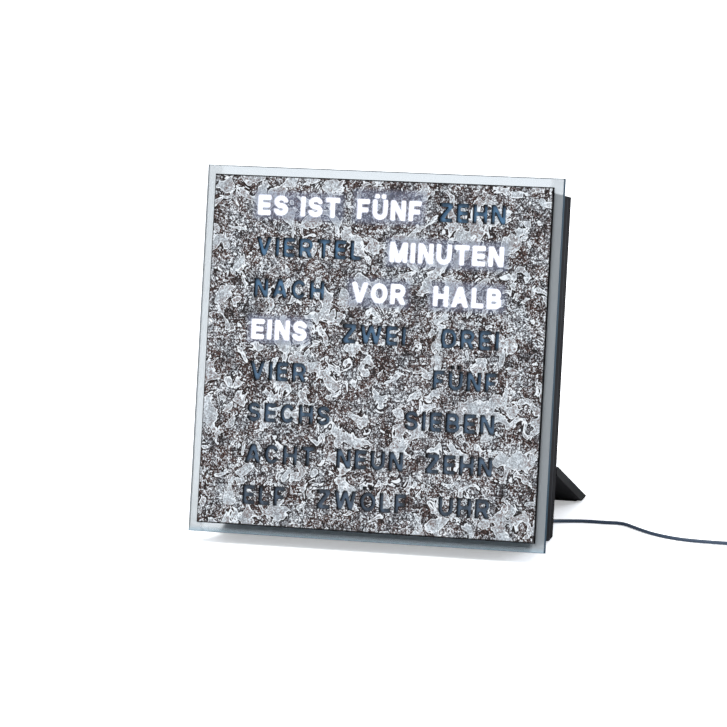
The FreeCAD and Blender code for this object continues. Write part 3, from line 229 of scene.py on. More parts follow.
def clear_acrylic(case):
    """Cast acrylic sheet with sawn and dulled edges.

    The faces are clear with a faint milky blue, a satin band down each side softens the case
    behind it, and the edges gather the colour of the whole depth of the sheet. The foot of the
    sheet is painted pale blue and less clear towards its lower edge: painted light, as of light
    gathered in that edge.
    """
    material, tree = start_material("cast_clear_acrylic")
    half = PLATE_SIDE / 2
    point = clock_point(tree)
    split = add_node(tree, "SeparateXYZ", {"Vector": point}).node
    side = add_node(tree, "Math", {0: split.outputs[0]}, operation="ABSOLUTE")
    rise = add_node(tree, "Math", {0: split.outputs[2], 1: half}, operation="SUBTRACT")
    rise = add_node(tree, "Math", {0: rise}, operation="ABSOLUTE")
    rim = add_node(tree, "Math", {0: side, 1: rise}, operation="MAXIMUM")
    edge = add_node(tree, "MapRange", {
        "Value": rim, "From Min": half - 0.4, "From Max": half - 0.05})
    # painted light: pale blue and less clear towards the lower edge
    foot = add_node(tree, "MapRange", {"Value": split.outputs[2], "From Min": 0.0,
                                       "From Max": 3.4, "To Min": 1.0, "To Max": 0.0})
    band = add_node(tree, "MapRange", {
        "Value": side, "From Min": half - 9.5, "From Max": half - 7.0})
    cloud = add_node(tree, "TexNoise", {"Vector": point, "Scale": 1 / 24.0, "Detail": 2.0})
    colour = add_node(tree, "Mix", {
        0: foot, 6: tuple(case.plate), 7: linear("#BCD6E4")}, **COLOURS)
    colour = add_node(tree, "Mix", {0: edge, 6: colour, 7: tuple(case.plate_edge)}, **COLOURS)
    clear = add_node(tree, "MapRange", {"Value": band, "To Min": 0.99, "To Max": 0.70})
    clear = add_node(tree, "Math", {0: foot, 1: -0.4, 2: clear}, operation="MULTIPLY_ADD")
    clear = add_node(tree, "Mix", {0: edge, 2: clear, 3: 0.1})
    rough = add_node(tree, "MapRange", {
        "Value": cloud, **NOISE_SPAN, "To Min": 0.02, "To Max": 0.06})
    dulled = add_node(tree, "Math", {0: edge, 1: 0.5, 2: rough}, operation="MULTIPLY_ADD")
    shader = add_node(tree, "BsdfPrincipled", {
        "Base Color": colour, "Roughness": dulled, "IOR": 1.49, "Specular IOR Level": 0.15,
        "Specular Tint": linear("#BFD2E2"), "Transmission Weight": clear})
    add_node(tree, "OutputMaterial", {"Surface": shader})
    return material


def weathered_stone(face):
    """Split granite veneer with a pale weathered skin, cut by water jet.

    Pale skin lies in ragged islands with bright, dark-edged rims over a curly dark and light
    grain with rusty ground between. The cut walls and the cut edges are darkened with painted
    shade, and where a word is lit they glow with painted light. Tones run from 0, black, to 1,
    white.
    """
    material, tree = start_material("split_granite_veneer")
    skin_edge = 0.575        # noise above this is skin
    outline_edge = 0.546     # and this is the dark line outside it
    point = clock_point(tree)
    grain = face.grain / MM
    patch = face.patch / MM

    worms = add_node(tree, "TexNoise", {
        "Vector": point, "Scale": 1 / grain, "Detail": 2.0, "Roughness": 0.6,
        "Distortion": 0.9})
    veins = line_at(tree, worms, 0.49, 0.006, 0.020, strength=0.85)
    worms = add_node(tree, "MapRange", {"Value": worms, "From Min": 0.42, "From Max": 0.58})
    flecks = add_node(tree, "TexNoise", {
        "Vector": point, "Scale": 1.5 / grain, "Detail": 1.0, "Distortion": 0.6})
    flecks = add_node(tree, "MapRange", {"Value": flecks, "From Min": 0.42, "From Max": 0.58})
    # rift: faint lines down and across the sheet, as the stone splits
    lines = add_node(tree, "TexNoise", {
        "Vector": clock_point(tree, (1.0, 1.0, 0.1)), "Scale": 1.3 / grain, "Detail": 1.0})
    across = add_node(tree, "TexNoise", {
        "Vector": clock_point(tree, (0.1, 1.0, 1.0)), "Scale": 1.3 / grain, "Detail": 1.0})
    rift = add_node(tree, "Math", {0: lines, 1: across}, operation="ADD")
    rift = add_node(tree, "MapRange", {"Value": rift, "From Min": 0.85, "From Max": 1.15})
    clouds = add_node(tree, "TexNoise", {
        "Vector": point, "Scale": 1 / (patch * 1.6), "Detail": 3.0})
    clouds = add_node(tree, "MapRange", {"Value": clouds, "From Min": 0.35, "From Max": 0.65})

    tone = add_node(tree, "Math", {0: worms, 1: 0.40}, operation="MULTIPLY")
    for layer, weight in ((flecks, 0.36), (rift, 0.14), (clouds, 0.24)):
        tone = add_node(tree, "Math", {0: layer, 1: weight, 2: tone}, operation="MULTIPLY_ADD")
    tone = add_node(tree, "Math", {0: tone, 1: 0.07}, operation="SUBTRACT")
    tone = add_node(tree, "Mix", {0: veins, 2: tone, 3: 0.10})

    skin = add_node(tree, "TexNoise", {
        "Vector": point, "Scale": 1 / patch, "Detail": 3.0, "Roughness": 0.5,
        "Distortion": 0.8})
    herd = add_node(tree, "TexNoise", {
        "Vector": point, "Scale": 1 / (patch * 3.0), "Detail": 2.0})
    herd = add_node(tree, "MapRange", {
        "Value": herd, "From Min": 0.40, "From Max": 0.60, "To Min": -0.07, "To Max": 0.07})
    skin = add_node(tree, "Math", {0: skin, 1: herd}, operation="ADD")
    cover = add_node(tree, "MapRange", {"Value": skin, "From Min": skin_edge - 0.009,
                                        "From Max": skin_edge + 0.009, "To Max": 0.88})
    pale = add_node(tree, "Math", {0: tone, 1: 0.26, 2: 0.56}, operation="MULTIPLY_ADD")
    tone = add_node(tree, "Mix", {0: cover, 2: tone, 3: pale})
    outline = line_at(tree, skin, outline_edge, 0.006, 0.018, strength=0.8)
    tone = add_node(tree, "Mix", {0: outline, 2: tone, 3: 0.06})
    rim = line_at(tree, skin, skin_edge + 0.001, 0.008, 0.020, strength=0.9)
    tone = add_node(tree, "Mix", {0: rim, 2: tone, 3: 0.95})

    stone = add_node(tree, "ValToRGB", {"Fac": tone}, stops=(
        (0.0, "#060506"), (0.18, "#1A1718"), (0.36, "#4E4B4E"), (0.50, "#7B7B80"),
        (0.64, "#AEB5BB"), (0.80, "#E0E8EE"), (1.0, "#FCFDFE")))
    rusty = add_node(tree, "TexNoise", {
        "Vector": point, "Scale": 1 / (patch * 1.2), "Detail": 4.0, "Roughness": 0.7})
    rusty = add_node(tree, "MapRange", {"Value": rusty, "From Min": 0.40, "From Max": 0.56})
    deep = add_node(tree, "MapRange", {
        "Value": tone, "From Min": 0.5, "From Max": 0.7, "To Min": 1.0, "To Max": 0.0})
    rusty = add_node(tree, "Math", {0: rusty, 1: deep}, operation="MULTIPLY")
    stone = add_node(tree, "Mix", {
        0: rusty, 6: stone, 7: tuple(face.rust)}, **COLOURS, blend_type="MULTIPLY")
    # light of the lit words is painted on the stone round them, as a haze in its colour and as a
    # glow at their cut edges and walls, and all cut edges and walls are darkened with painted
    # shade
    spill = word_light(tree, point, face.haze_reach / MM)
    frayed = add_node(tree, "Math", {0: spill, 1: worms}, operation="MULTIPLY")
    # painted light: the haze colour is mixed into the stone round the lit words
    hazed = add_node(tree, "Math", {0: spill, 1: 0.30}, operation="MULTIPLY")
    hazed = add_node(tree, "Math", {0: frayed, 1: 0.30, 2: hazed}, operation="MULTIPLY_ADD")
    stone = add_node(tree, "Mix", {0: hazed, 6: stone, 7: tuple(face.haze)}, **COLOURS)
    inside = add_node(tree, "AmbientOcclusion", {
        "Distance": 0.9 * MM}, output="AO", samples=12, inside=True, only_local=True)
    near_cut = add_node(tree, "MapRange", {"Value": inside, "From Min": 0.95, "From Max": 0.6})
    # painted shade: the stone turns near black along its cut edges and on the cut walls
    cut_edge_shade = add_node(tree, "MapRange", {
        "Value": inside, "From Min": 0.80, "From Max": 0.64, "To Max": 0.6})
    walls = cut_walls(tree)
    cut_edge_shade = add_node(tree, "Math", {0: cut_edge_shade, 1: walls}, operation="MAXIMUM")
    stone = add_node(tree, "Mix", {0: cut_edge_shade, 6: stone, 7: linear("#0E0E10")}, **COLOURS)
    # painted light: the stone's cut edges and walls glow where a word is lit
    bright = add_node(tree, "Math", {0: near_cut, 1: walls}, operation="MAXIMUM")
    shine = add_node(tree, "Math", {0: spill, 1: bright}, operation="MULTIPLY")
    shine = add_node(tree, "Math", {0: spill, 1: 0.04, 2: shine}, operation="MULTIPLY_ADD")
    bumps = add_node(tree, "Bump", {"Height": tone, "Strength": 0.6, "Distance": 0.15 * MM})
    rough = add_node(tree, "MapRange", {"Value": tone, "To Min": 0.6, "To Max": 0.85})
    shader = add_node(tree, "BsdfPrincipled", {
        "Base Color": stone, "Roughness": rough, "Specular IOR Level": 0.25, "Normal": bumps,
        "Emission Color": linear("#EEF0FF"), "Emission Strength": shine})
    add_node(tree, "OutputMaterial", {"Surface": shader})
    return material


def diffuser_film(face):
    """Printed polycarbonate film, satin: slate blue while dark, white where its lamps are on."""
    material, tree = start_material("printed_polycarbonate_film")
    point = clock_point(tree)
    high = add_node(tree, "SeparateXYZ", {"Vector": point}, output=2)
    # painted reflection: the film is lighter and bluer towards the top
    level = add_node(tree, "MapRange", {
        "Value": high, "From Min": FILM_LIGHT_RISE[0], "From Max": FILM_LIGHT_RISE[1]})
    film = add_node(tree, "Mix", {
        0: level, 6: tuple(face.film_bottom_shade), 7: tuple(face.film_top_reflection)}, **COLOURS)
    cloud = add_node(tree, "TexNoise", {"Vector": point, "Scale": 1 / 6.0, "Detail": 2.0})
    uneven = add_node(tree, "MapRange", {
        "Value": cloud, **NOISE_SPAN, "To Min": 0.0, "To Max": 0.5})
    film = add_node(tree, "Mix", {0: uneven, 6: film, 7: linear("#323C48")}, **COLOURS)
    # painted shade: the film turns dark near the cut walls, where the recess shades it
    open_sky = add_node(tree, "AmbientOcclusion", {"Distance": 2.2 * MM}, output="AO", samples=12)
    shade = add_node(tree, "MapRange", {
        "Value": open_sky, "From Min": 0.42, "From Max": 0.72, "To Min": 0.9, "To Max": 0.0})
    film = add_node(tree, "Mix", {0: shade, 6: film, 7: linear("#0A0E12")}, **COLOURS)
    lit = word_light(tree, point, WORD_FRINGE)
    rough = add_node(tree, "MapRange", {
        "Value": cloud, **NOISE_SPAN, "To Min": 0.32, "To Max": 0.45})
    strength = add_node(tree, "Math", {0: lit, 1: face.power}, operation="MULTIPLY")
    shader = add_node(tree, "BsdfPrincipled", {
        "Base Color": film, "Roughness": rough, "Emission Color": tuple(face.glow),
        "Emission Strength": strength})
    add_node(tree, "OutputMaterial", {"Surface": shader})
    return material


def black_board(face):
    """Black hard-paper board, laser cut: matt black edges that catch the light of a lit word.

    The real fibres are finer, and are drawn 0.7 mm wide so that they show.
    """
    material, tree = start_material("laser_cut_hard_paper")
    point = clock_point(tree)
    fibre = add_node(tree, "TexNoise", {"Vector": point, "Scale": 1 / 0.7, "Detail": 2.0})
    colour = add_node(tree, "Mix", {
        0: fibre, 6: linear("#070708"), 7: linear("#141416")}, **COLOURS)
    # painted light: the board's cut walls glow where a word is lit
    lit = add_node(tree, "Math", {
        0: word_light(tree, point, WORD_FRINGE), 1: cut_walls(tree)}, operation="MULTIPLY")
    bumps = add_node(tree, "Bump", {"Height": fibre, "Strength": 0.4, "Distance": 0.02 * MM})
    shader = add_node(tree, "BsdfPrincipled", {
        "Base Color": colour, "Roughness": 0.8, "Specular IOR Level": 0.1, "Normal": bumps,
        "Emission Color": tuple(face.glow), "Emission Strength": lit})
    add_node(tree, "OutputMaterial", {"Surface": shader})
    return material


def powder_coat(case):
    """Fine-texture powder coat on folded steel: black, dull, with orange-peel dimples.

    A folded seam runs round the case near its back. The real dimples are 0.3 mm wide, drawn at
    0.8 mm so that they show.
    """
    material, tree = start_material("fine_texture_powder_coat")
    point = clock_point(tree)
    dimples = add_node(tree, "TexNoise", {"Vector": point, "Scale": 1 / 0.8, "Detail": 2.0})
    cloud = add_node(tree, "TexNoise", {"Vector": point, "Scale": 1 / 30.0, "Detail": 2.0})
    depth = add_node(tree, "SeparateXYZ", {"Vector": point}, output=1)
    seam = line_at(tree, depth, CASE_BACK - 7.8, 0.25, 0.7)
    # painted highlight: a lighter band just in front of the seam
    seam_highlight = line_at(tree, depth, CASE_BACK - 9.0, 0.2, 1.1)
    colour = add_node(tree, "Mix", {
        0: cloud, 6: tuple(case.paint), 7: linear("#1F1F22")}, **COLOURS)
    colour = add_node(tree, "Mix", {0: seam_highlight, 6: colour, 7: linear("#3A3B3F")}, **COLOURS)
    colour = add_node(tree, "Mix", {0: seam, 6: colour, 7: linear("#060607")}, **COLOURS)
    height = add_node(tree, "Math", {0: seam, 1: -3.0, 2: dimples}, operation="MULTIPLY_ADD")
    bumps = add_node(tree, "Bump", {"Height": height, "Strength": 0.7, "Distance": 0.06 * MM})
    rough = add_node(tree, "MapRange", {
        "Value": cloud, **NOISE_SPAN, "To Min": 0.48, "To Max": 0.6})
    shader = add_node(tree, "BsdfPrincipled", {
        "Base Color": colour, "Roughness": rough, "Specular IOR Level": 0.02,
        "Normal": bumps})
    add_node(tree, "OutputMaterial", {"Surface": shader})
    return material


def anodised_aluminium(case):
    """Bead-blasted aluminium, anodised black: an even satin with a fine grain.

    The blasting's real grain is 0.1 mm, drawn at 0.5 mm so that it shows.
    """
    material, tree = start_material("bead_blasted_black_anodised_aluminium")
    point = clock_point(tree)
    blast = add_node(tree, "TexNoise", {"Vector": point, "Scale": 1 / 0.5, "Detail": 2.0})
    cloud = add_node(tree, "TexNoise", {"Vector": point, "Scale": 1 / 22.0, "Detail": 3.0})
    colour = add_node(tree, "Mix", {
        0: cloud, 6: tuple(case.stand), 7: linear("#171718")}, **COLOURS)
    bumps = add_node(tree, "Bump", {"Height": blast, "Strength": 0.5, "Distance": 0.02 * MM})
    rough = add_node(tree, "MapRange", {
        "Value": cloud, **NOISE_SPAN, "To Min": 0.42, "To Max": 0.55})
    shader = add_node(tree, "BsdfPrincipled", {
        "Base Color": colour, "Roughness": rough, "Specular IOR Level": 0.03,
        "Normal": bumps})
    add_node(tree, "OutputMaterial", {"Surface": shader})
    return material


def plated_metal(name, hex_low, hex_high, roughness):
    """Turned or pressed metal with a bright plating: fine scratches in a bright surface.

    The scratches are drawn 0.35 mm wide, which is coarser than real ones, so that they show.
    """
    material, tree = start_material(name)
    point = clock_point(tree, (1.0, 1.0, 6.0))
    marks = add_node(tree, "TexNoise", {"Vector": point, "Scale": 1 / 0.35, "Detail": 2.0})
    cloud = add_node(tree, "TexNoise", {
        "Vector": clock_point(tree), "Scale": 1 / 4.0, "Detail": 2.0})
    colour = add_node(tree, "Mix", {0: cloud, 6: linear(hex_low), 7: linear(hex_high)}, **COLOURS)
    rough = add_node(tree, "MapRange", {
        "Value": marks, **NOISE_SPAN, "To Min": roughness - 0.06,
        "To Max": roughness + 0.1})
    bumps = add_node(tree, "Bump", {"Height": marks, "Strength": 0.3, "Distance": 0.01 * MM})
    shader = add_node(tree, "BsdfPrincipled", {
        "Base Color": colour, "Metallic": 1.0, "Roughness": rough, "Normal": bumps})
    add_node(tree, "OutputMaterial", {"Surface": shader})
    return material


def moulded(name, hex_low, hex_high, grain_mm, depth_mm, roughness):
    """Moulded, cast or cut plastic and rubber: a fine even grain and a little cloudiness.

    A grain under half a millimetre is drawn at about that width, so that it shows.
    """
    material, tree = start_material(name)
    point = clock_point(tree)
    spark = add_node(tree, "TexNoise", {"Vector": point, "Scale": 1 / grain_mm, "Detail": 2.0})
    cloud = add_node(tree, "TexNoise", {
        "Vector": point, "Scale": 1 / (grain_mm * 18), "Detail": 2.0})
    colour = add_node(tree, "Mix", {0: cloud, 6: linear(hex_low), 7: linear(hex_high)}, **COLOURS)
    rough = add_node(tree, "MapRange", {
        "Value": spark, **NOISE_SPAN, "To Min": roughness - 0.05,
        "To Max": roughness + 0.08})
    bumps = add_node(tree, "Bump", {"Height": spark, "Strength": 0.6, "Distance": depth_mm * MM})
    shader = add_node(tree, "BsdfPrincipled", {
        "Base Color": colour, "Roughness": rough, "Specular IOR Level": 0.35,
        "Normal": bumps})
    add_node(tree, "OutputMaterial", {"Surface": shader})
    return material


def circuit_board():
    """Glass-epoxy board under green solder mask: glossy, with copper tracks that show through.

    The tracks are 0.4 mm wide on a 2.5 mm pitch.
    """
    material, tree = start_material("green_solder_mask_on_glass_epoxy")
    turned = add_node(tree, "Mapping", {
        "Vector": clock_point(tree), "Rotation": (math.radians(90), 0, 0)})
    tracks = add_node(tree, "TexBrick", {
        "Vector": turned, "Color1": (0, 0, 0, 1), "Color2": (0, 0, 0, 1),
        "Mortar": (1, 1, 1, 1), "Scale": 1.0, "Mortar Size": 0.2, "Mortar Smooth": 0.3,
        "Brick Width": 7.5, "Row Height": 2.5})
    colour = add_node(tree, "Mix", {
        0: tracks, 6: linear("#0F4A2C"), 7: linear("#2D7B4B")}, **COLOURS)
    bumps = add_node(tree, "Bump", {"Height": tracks, "Strength": 0.5, "Distance": 0.04 * MM})
    shader = add_node(tree, "BsdfPrincipled", {
        "Base Color": colour, "Roughness": 0.3, "Normal": bumps})
    add_node(tree, "OutputMaterial", {"Surface": shader})
    return material


def cord_sleeve(cord):
    """Extruded PVC sleeve: navy, satin, with a faint mottle.

    The real mottle is finer than the cord, and is drawn 0.7 mm wide so that it shows.
    """
    material, tree = start_material("extruded_pvc_sleeve")
    point = clock_point(tree)
    mottle = add_node(tree, "TexNoise", {"Vector": point, "Scale": 1 / 0.7, "Detail": 2.0})
    colour = add_node(tree, "Mix", {
        0: mottle, 6: tuple(cord.sleeve), 7: linear("#43546A")}, **COLOURS)
    bumps = add_node(tree, "Bump", {"Height": mottle, "Strength": 0.4, "Distance": 0.02 * MM})
    shader = add_node(tree, "BsdfPrincipled", {
        "Base Color": colour, "Roughness": 0.42, "Specular IOR Level": 0.4,
        "Normal": bumps})
    add_node(tree, "OutputMaterial", {"Surface": shader})
    return material


def dress(material, *names):
    """Give CAD nodes or new pieces a material."""
    for name in names:
        data = bpy.data.objects[name].data
        data.materials.clear()
        data.materials.append(material)


# ---------------------------------------------------------------- shaped pieces

SMOOTH_BELOW = math.radians(32.0)  # edges that turn less than this are shaded smooth
STILL = Matrix.Identity(4)         # place of a shape that is drawn where it stands


def rounded_block(shape, low, high, edge_mm, segments=3, along=None):
    """A block between two corners, with all its edges rounded or those along one axis."""
    low, high = Vector(low), Vector(high)
    corners = bmesh.ops.create_cube(shape, size=1.0)["verts"]
    stretch = Matrix.Diagonal((*(high - low), 1.0))
    bmesh.ops.transform(shape, matrix=Matrix.Translation((low + high) / 2) @ stretch,
                        verts=corners)
    edges = list({edge for corner in corners for edge in corner.link_edges})
    if along is not None:
        edges = [edge for edge in edges
                 if abs((edge.verts[0].co - edge.verts[1].co)[along]) > 1e-6]
    bmesh.ops.bevel(shape, geom=edges, offset=edge_mm, segments=segments, profile=0.5,
                    affect="EDGES", material=-1)


def turned_part(shape, profile, start, axis, steps=48):
    """Spin a profile of radius and distance along round an axis through start."""
    axis = Vector(axis).normalized()
    across = axis.orthogonal().normalized()
    points = [shape.verts.new(Vector(start) + across * radius + axis * along)
              for radius, along in profile]
    edges = [shape.edges.new(pair) for pair in zip(points, points[1:])]
    bmesh.ops.spin(shape, geom=points + edges, cent=Vector(start), axis=axis,
                   angle=math.tau, steps=steps, use_merge=True)
    bmesh.ops.remove_doubles(shape, verts=shape.verts, dist=1e-4)


def sink(shape, height, boxes, depth):
    """Sink rectangles (left, near, right, far) into the flat top at a height of a shape."""
    for left, near, right, far in boxes:
        for place, way in (((left, 0, 0), (1, 0, 0)), ((right, 0, 0), (1, 0, 0)),
                           ((0, near, 0), (0, 1, 0)), ((0, far, 0), (0, 1, 0))):
            top = [face for face in shape.faces
                   if abs(face.calc_center_median().z - height) < 1e-4]
            geom = (top + list({edge for face in top for edge in face.edges})
                    + list({corner for face in top for corner in face.verts}))
            bmesh.ops.bisect_plane(shape, geom=geom, dist=1e-5, plane_co=place, plane_no=way)
    sunk = []
    for face in shape.faces:
        middle = face.calc_center_median()
        if abs(middle.z - height) < 1e-4 and any(
                left < middle.x < right and near < middle.y < far
                for left, near, right, far in boxes):
            sunk.append(face)
    made = bmesh.ops.extrude_face_region(shape, geom=sunk)["geom"]
    bmesh.ops.delete(shape, geom=sunk, context="FACES_ONLY")
    bmesh.ops.translate(shape, vec=(0, 0, -depth),
                        verts=[item for item in made if isinstance(item, bmesh.types.BMVert)])


def add_screw(shape, seat, radius, thick, shank_radius, shank_length):
    """A pan-head screw that points forwards, with a domed, cross-recessed head.

    seat is the middle of the face under the head, in clock axes.
    """
    screw = bmesh.new()
    turned_part(screw, [(0, -shank_length), (shank_radius * 0.7, -shank_length),
                        (shank_radius, -shank_length + shank_radius * 0.4),
                        (shank_radius, 0), (radius, 0), (radius, thick * 0.45)],
                (0, 0, 0), (0, 0, 1), steps=32)
    rim = [edge for edge in screw.edges if edge.is_boundary]
    top = bmesh.ops.holes_fill(screw, edges=rim, sides=0)["faces"]
    bmesh.ops.recalc_face_normals(screw, faces=screw.faces)
    bmesh.ops.inset_individual(screw, faces=top, thickness=radius * 0.16,
                               depth=thick * 0.38)
    bmesh.ops.inset_individual(screw, faces=top, thickness=radius * 0.22,
                               depth=thick * 0.17)
    half, reach = radius * 0.12, radius * 0.48
    sink(screw, thick, ((-reach, -half, reach, half), (-half, -reach, half, reach)),
         thick * 0.6)
    bmesh.ops.recalc_face_normals(screw, faces=screw.faces)
    bmesh.ops.transform(screw, verts=screw.verts,
                        matrix=(Matrix.Translation(seat)
                                @ Matrix.Rotation(math.radians(-90), 4, "X")))
    loose = bpy.data.meshes.new("screw")
    screw.to_mesh(loose)
    screw.free()
    shape.from_mesh(loose)
    bpy.data.meshes.remove(loose)


def set_piece(shape, name, replaced, material, place=CLOCK_TO_TABLE):
    """Make a piece of a shape that is drawn in millimetres, in place of a CAD node."""
    bmesh.ops.remove_doubles(shape, verts=shape.verts, dist=1e-4)
    bmesh.ops.recalc_face_normals(shape, faces=shape.faces)
    bmesh.ops.transform(shape, matrix=Matrix.Scale(MM, 4) @ place, verts=shape.verts)
    for face in shape.faces:
        face.smooth = True
    for edge in shape.edges:
        edge.smooth = (len(edge.link_faces) == 2
                       and edge.calc_face_angle() < SMOOTH_BELOW)
    mesh = bpy.data.meshes.new(name)
    shape.to_mesh(mesh)
    shape.free()
    mesh.materials.append(material)
    piece = bpy.data.objects.new(name, mesh)
    bpy.context.scene.collection.objects.link(piece)
    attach(piece, "clock")
    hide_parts(replaced)
    return piece


def node_corners(name):
    """Lowest and highest corner of a CAD node, in millimetres."""
    return [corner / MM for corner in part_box(name)]


class FinishStep:
    """What the operators share"""
    bl_options = {"REGISTER", "UNDO"}


# The cord's route on the table, in millimetres from the origin, from its plug to its coil.
CORD_ROUTE = (
    (PLUG_X, -0.859, 5.047), (PLUG_X, 4.428, 3.531), (94.2, 9.667, 2.3), (98.3, 13.667, 1.5),
    (106.7, 16.867, 1.1), (117.0, 18.567, 1.1), (128.0, 18.067, 1.1), (139.5, 19.067, 1.1),
    (149.5, 10.567, 1.1), (163.0, 0.367, 1.1), (181.0, -6.633, 1.1), (201.0, -9.533, 1.6),
    (219.0, -9.533, 1.6),
)
COIL_MIDDLE = (232.0, 6.767)
COIL_LIFT = 0.5
COIL_LAYERS = 4            # and as many turns in each
COIL_STEPS = 16            # points in a turn
TAIL_X = 248.3
CORD_TAIL = ((TAIL_X, 15.767, 6.4), (TAIL_X, 23.767, 4.2), (TAIL_X, 28.767, 3.7),
             (TAIL_X, 31.767, 3.7))


def coil_turns(radius, diameter):
    """Points of the turns in layers, a diameter apart, the lowest one from the outside in.

    In the last two fifths of a turn the cord moves over to the place of the next one.
    """
    reach = 1.0 / math.cos(math.pi / COIL_STEPS) ** 0.5
    last = COIL_LAYERS - 1
    turns = COIL_LAYERS ** 2
    radii = [radius + diameter * (last / 2 - place) for place in range(COIL_LAYERS)]
    points = []
    for step in range(1, turns * COIL_STEPS + COIL_STEPS // 4 + 1):
        turn = min(step / COIL_STEPS, turns - 1e-6)
        layer, place = divmod(int(turn), COIL_LAYERS)
        share = max(0.0, (turn % 1 - 0.6) / 0.4)
        order = radii if layer % 2 == 0 else radii[::-1]
        out = order[place] + (order[min(place + 1, last)] - order[place]) * share
        height = COIL_LIFT + diameter * (layer + 0.5)
        if place == last and layer < last:
            height += diameter * share
        angle = math.tau * step / COIL_STEPS - math.pi / 2
        points.append((COIL_MIDDLE[0] + out * reach * math.cos(angle),
                       COIL_MIDDLE[1] + out * reach * math.sin(angle), height))
    return points


def lay_cord(scene, cord):
    """One curve from the plug through the coil to the far plug."""
    turns = coil_turns(cord.coil_radius / MM, cord.diameter / MM)
    points = CORD_ROUTE + tuple(turns) + CORD_TAIL
    curve = bpy.data.curves.new("cord_run", "CURVE")
    curve.dimensions = "3D"
    curve.bevel_depth = cord.diameter / 2
    curve.bevel_resolution = 4
    curve.use_fill_caps = True
    spline = curve.splines.new("NURBS")
    spline.points.add(len(points) - 1)
    for target, point in zip(spline.points, points):
        target.co = (*(Vector(point) * MM), 1.0)
    spline.order_u = 3
    spline.use_endpoint_u = True
    spline.resolution_u = 5
    curve.materials.append(cord_sleeve(cord))
    run = bpy.data.objects.new("cord_run", curve)
    scene.collection.objects.link(run)
    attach(run, "clock")
    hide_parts("power_cord", "cord_coil", "cord_tail")
    return run


def make_strap():
    """Thin open-ended band round the coil, with a buckle."""
    strap = bmesh.new()
    low, high = node_corners("coil_tie")
    rounded_block(strap, low, high, 1.8, segments=5, along=1)
    ends = [face for face in strap.faces if abs(face.normal.y) > 0.99]
    bmesh.ops.delete(strap, geom=ends, context="FACES_ONLY")
    bmesh.ops.recalc_face_normals(strap, faces=strap.faces)
    bmesh.ops.solidify(strap, geom=strap.faces, thickness=0.45)
    rounded_block(strap, (low.x - 0.3, low.y + 0.3, low.z + 3.2),
                  (low.x + 0.9, high.y - 0.3, low.z + 6.6), 0.3)
    rubber = moulded("die_cut_rubber_strap", "#121213", "#1E1E20", 0.6, 0.02, 0.75)
    return set_piece(strap, "coil_strap", "coil_tie", rubber, place=STILL)


def make_end_grip(plastic):
    """Grip of the far plug, with ribs down both sides."""
    ribs, pitch, width, stand_out, inset = 5, 1.7, 0.8, 0.25, 1.7
    grip = bmesh.new()
    low, high = node_corners("end_plug_body")
    rounded_block(grip, low, high, 1.5, segments=4)
    for number in range(ribs):
        near = low.y + 4.0 + number * pitch
        for side in (low.x - stand_out, high.x - stand_out):
            rounded_block(grip, (side, near, low.z + inset),
                          (side + 2 * stand_out, near + width, high.z - inset), 0.2,
                          segments=2)
    return set_piece(grip, "end_plug_grip", "end_plug_body", plastic,
                     place=STILL)


def make_end_shell():
    """Metal shell of the far plug, with two sunk windows and a tongue in its mouth."""
    window_place, window_half = 2.9, 1.2
    wall, mouth_depth = 0.2, 8.0
    shell = bmesh.new()
    low, high = node_corners("end_plug_shell")
    rounded_block(shell, low, high, 0.35, segments=2)
    middle = (low.x + high.x) / 2
    windows = [(middle + side - window_half, high.y - 6.2, middle + side + window_half,
                high.y - 4.0) for side in (-window_place, window_place)]
    sink(shell, high.z, windows, 0.25)
    mouth = [face for face in shell.faces if face.normal.y > 0.99]
    bmesh.ops.inset_region(shell, faces=mouth, thickness=wall, depth=0.0)
    mouth = [face for face in shell.faces
             if face.normal.y > 0.99 and face.calc_area() > 10.0]
    bmesh.ops.translate(shell, vec=(0, -mouth_depth, 0),
                        verts=list({corner for face in mouth for corner in face.verts}))
    rounded_block(shell, (low.x + 0.9, high.y - 9.0, low.z + 0.8),
                  (high.x - 0.9, high.y - 0.4, low.z + 2.1), 0.1, segments=1)
    nickel = plated_metal("pressed_nickel_plated_steel", "#B9B8B2", "#D3D2CC", 0.24)
    return set_piece(shell, "end_plug_tip", "end_plug_shell", nickel, place=STILL)


def make_plug_grip(plastic):
    """Round grip of the plug in the clock, with four rings and a tapered relief."""
    body = bmesh.new()
    radius, groove_radius, pitch = 3.5, 3.15, 1.3
    profile = [(0.0, 0.0), (3.1, 0.0), (radius, 0.4), (radius, 1.6)]
    for number in range(4):
        along = 1.6 + number * pitch
        profile += [(groove_radius, along + 0.25), (groove_radius, along + 0.75),
                    (radius, along + 1.0), (radius, along + pitch)]
    profile += [(radius, 7.6), (3.2, 8.0), (2.3, 9.0), (1.75, 11.5), (1.4, 13.8),
                (1.12, 14.0)]
    turned_part(body, profile, (PLUG_X, CASE_BACK, PLUG_RISE), (0, 1, 0))
    bmesh.ops.holes_fill(body, edges=[edge for edge in body.edges if edge.is_boundary],
                         sides=0)
    set_piece(body, "plug_grip", "plug_body", plastic)


class CLOCK_OT_cord(FinishStep, bpy.types.Operator):
    """Lay the power cord on the table, with its put-away coil and its plugs"""
    bl_idname = "word_clock.cord"
    bl_label = "Power cord"

    def execute(self, context):
        cord = context.scene.clock_cord
        run = lay_cord(context.scene, cord)
        strap = make_strap()
        plastic = moulded("moulded_pvc_grip", "#17181A", "#222326", 0.5, 0.015, 0.5)
        grip = make_end_grip(plastic)
        shell = make_end_shell()
        make_plug_grip(plastic)
        return {"FINISHED"}


class CLOCK_OT_plate(FinishStep, bpy.types.Operator):
    """Finish the clear plate that carries the face"""
    bl_idname = "word_clock.plate"
    bl_label = "Clear plate"

    def execute(self, context):
        dress(clear_acrylic(context.scene.clock_case), "front_plate")
        return {"FINISHED"}


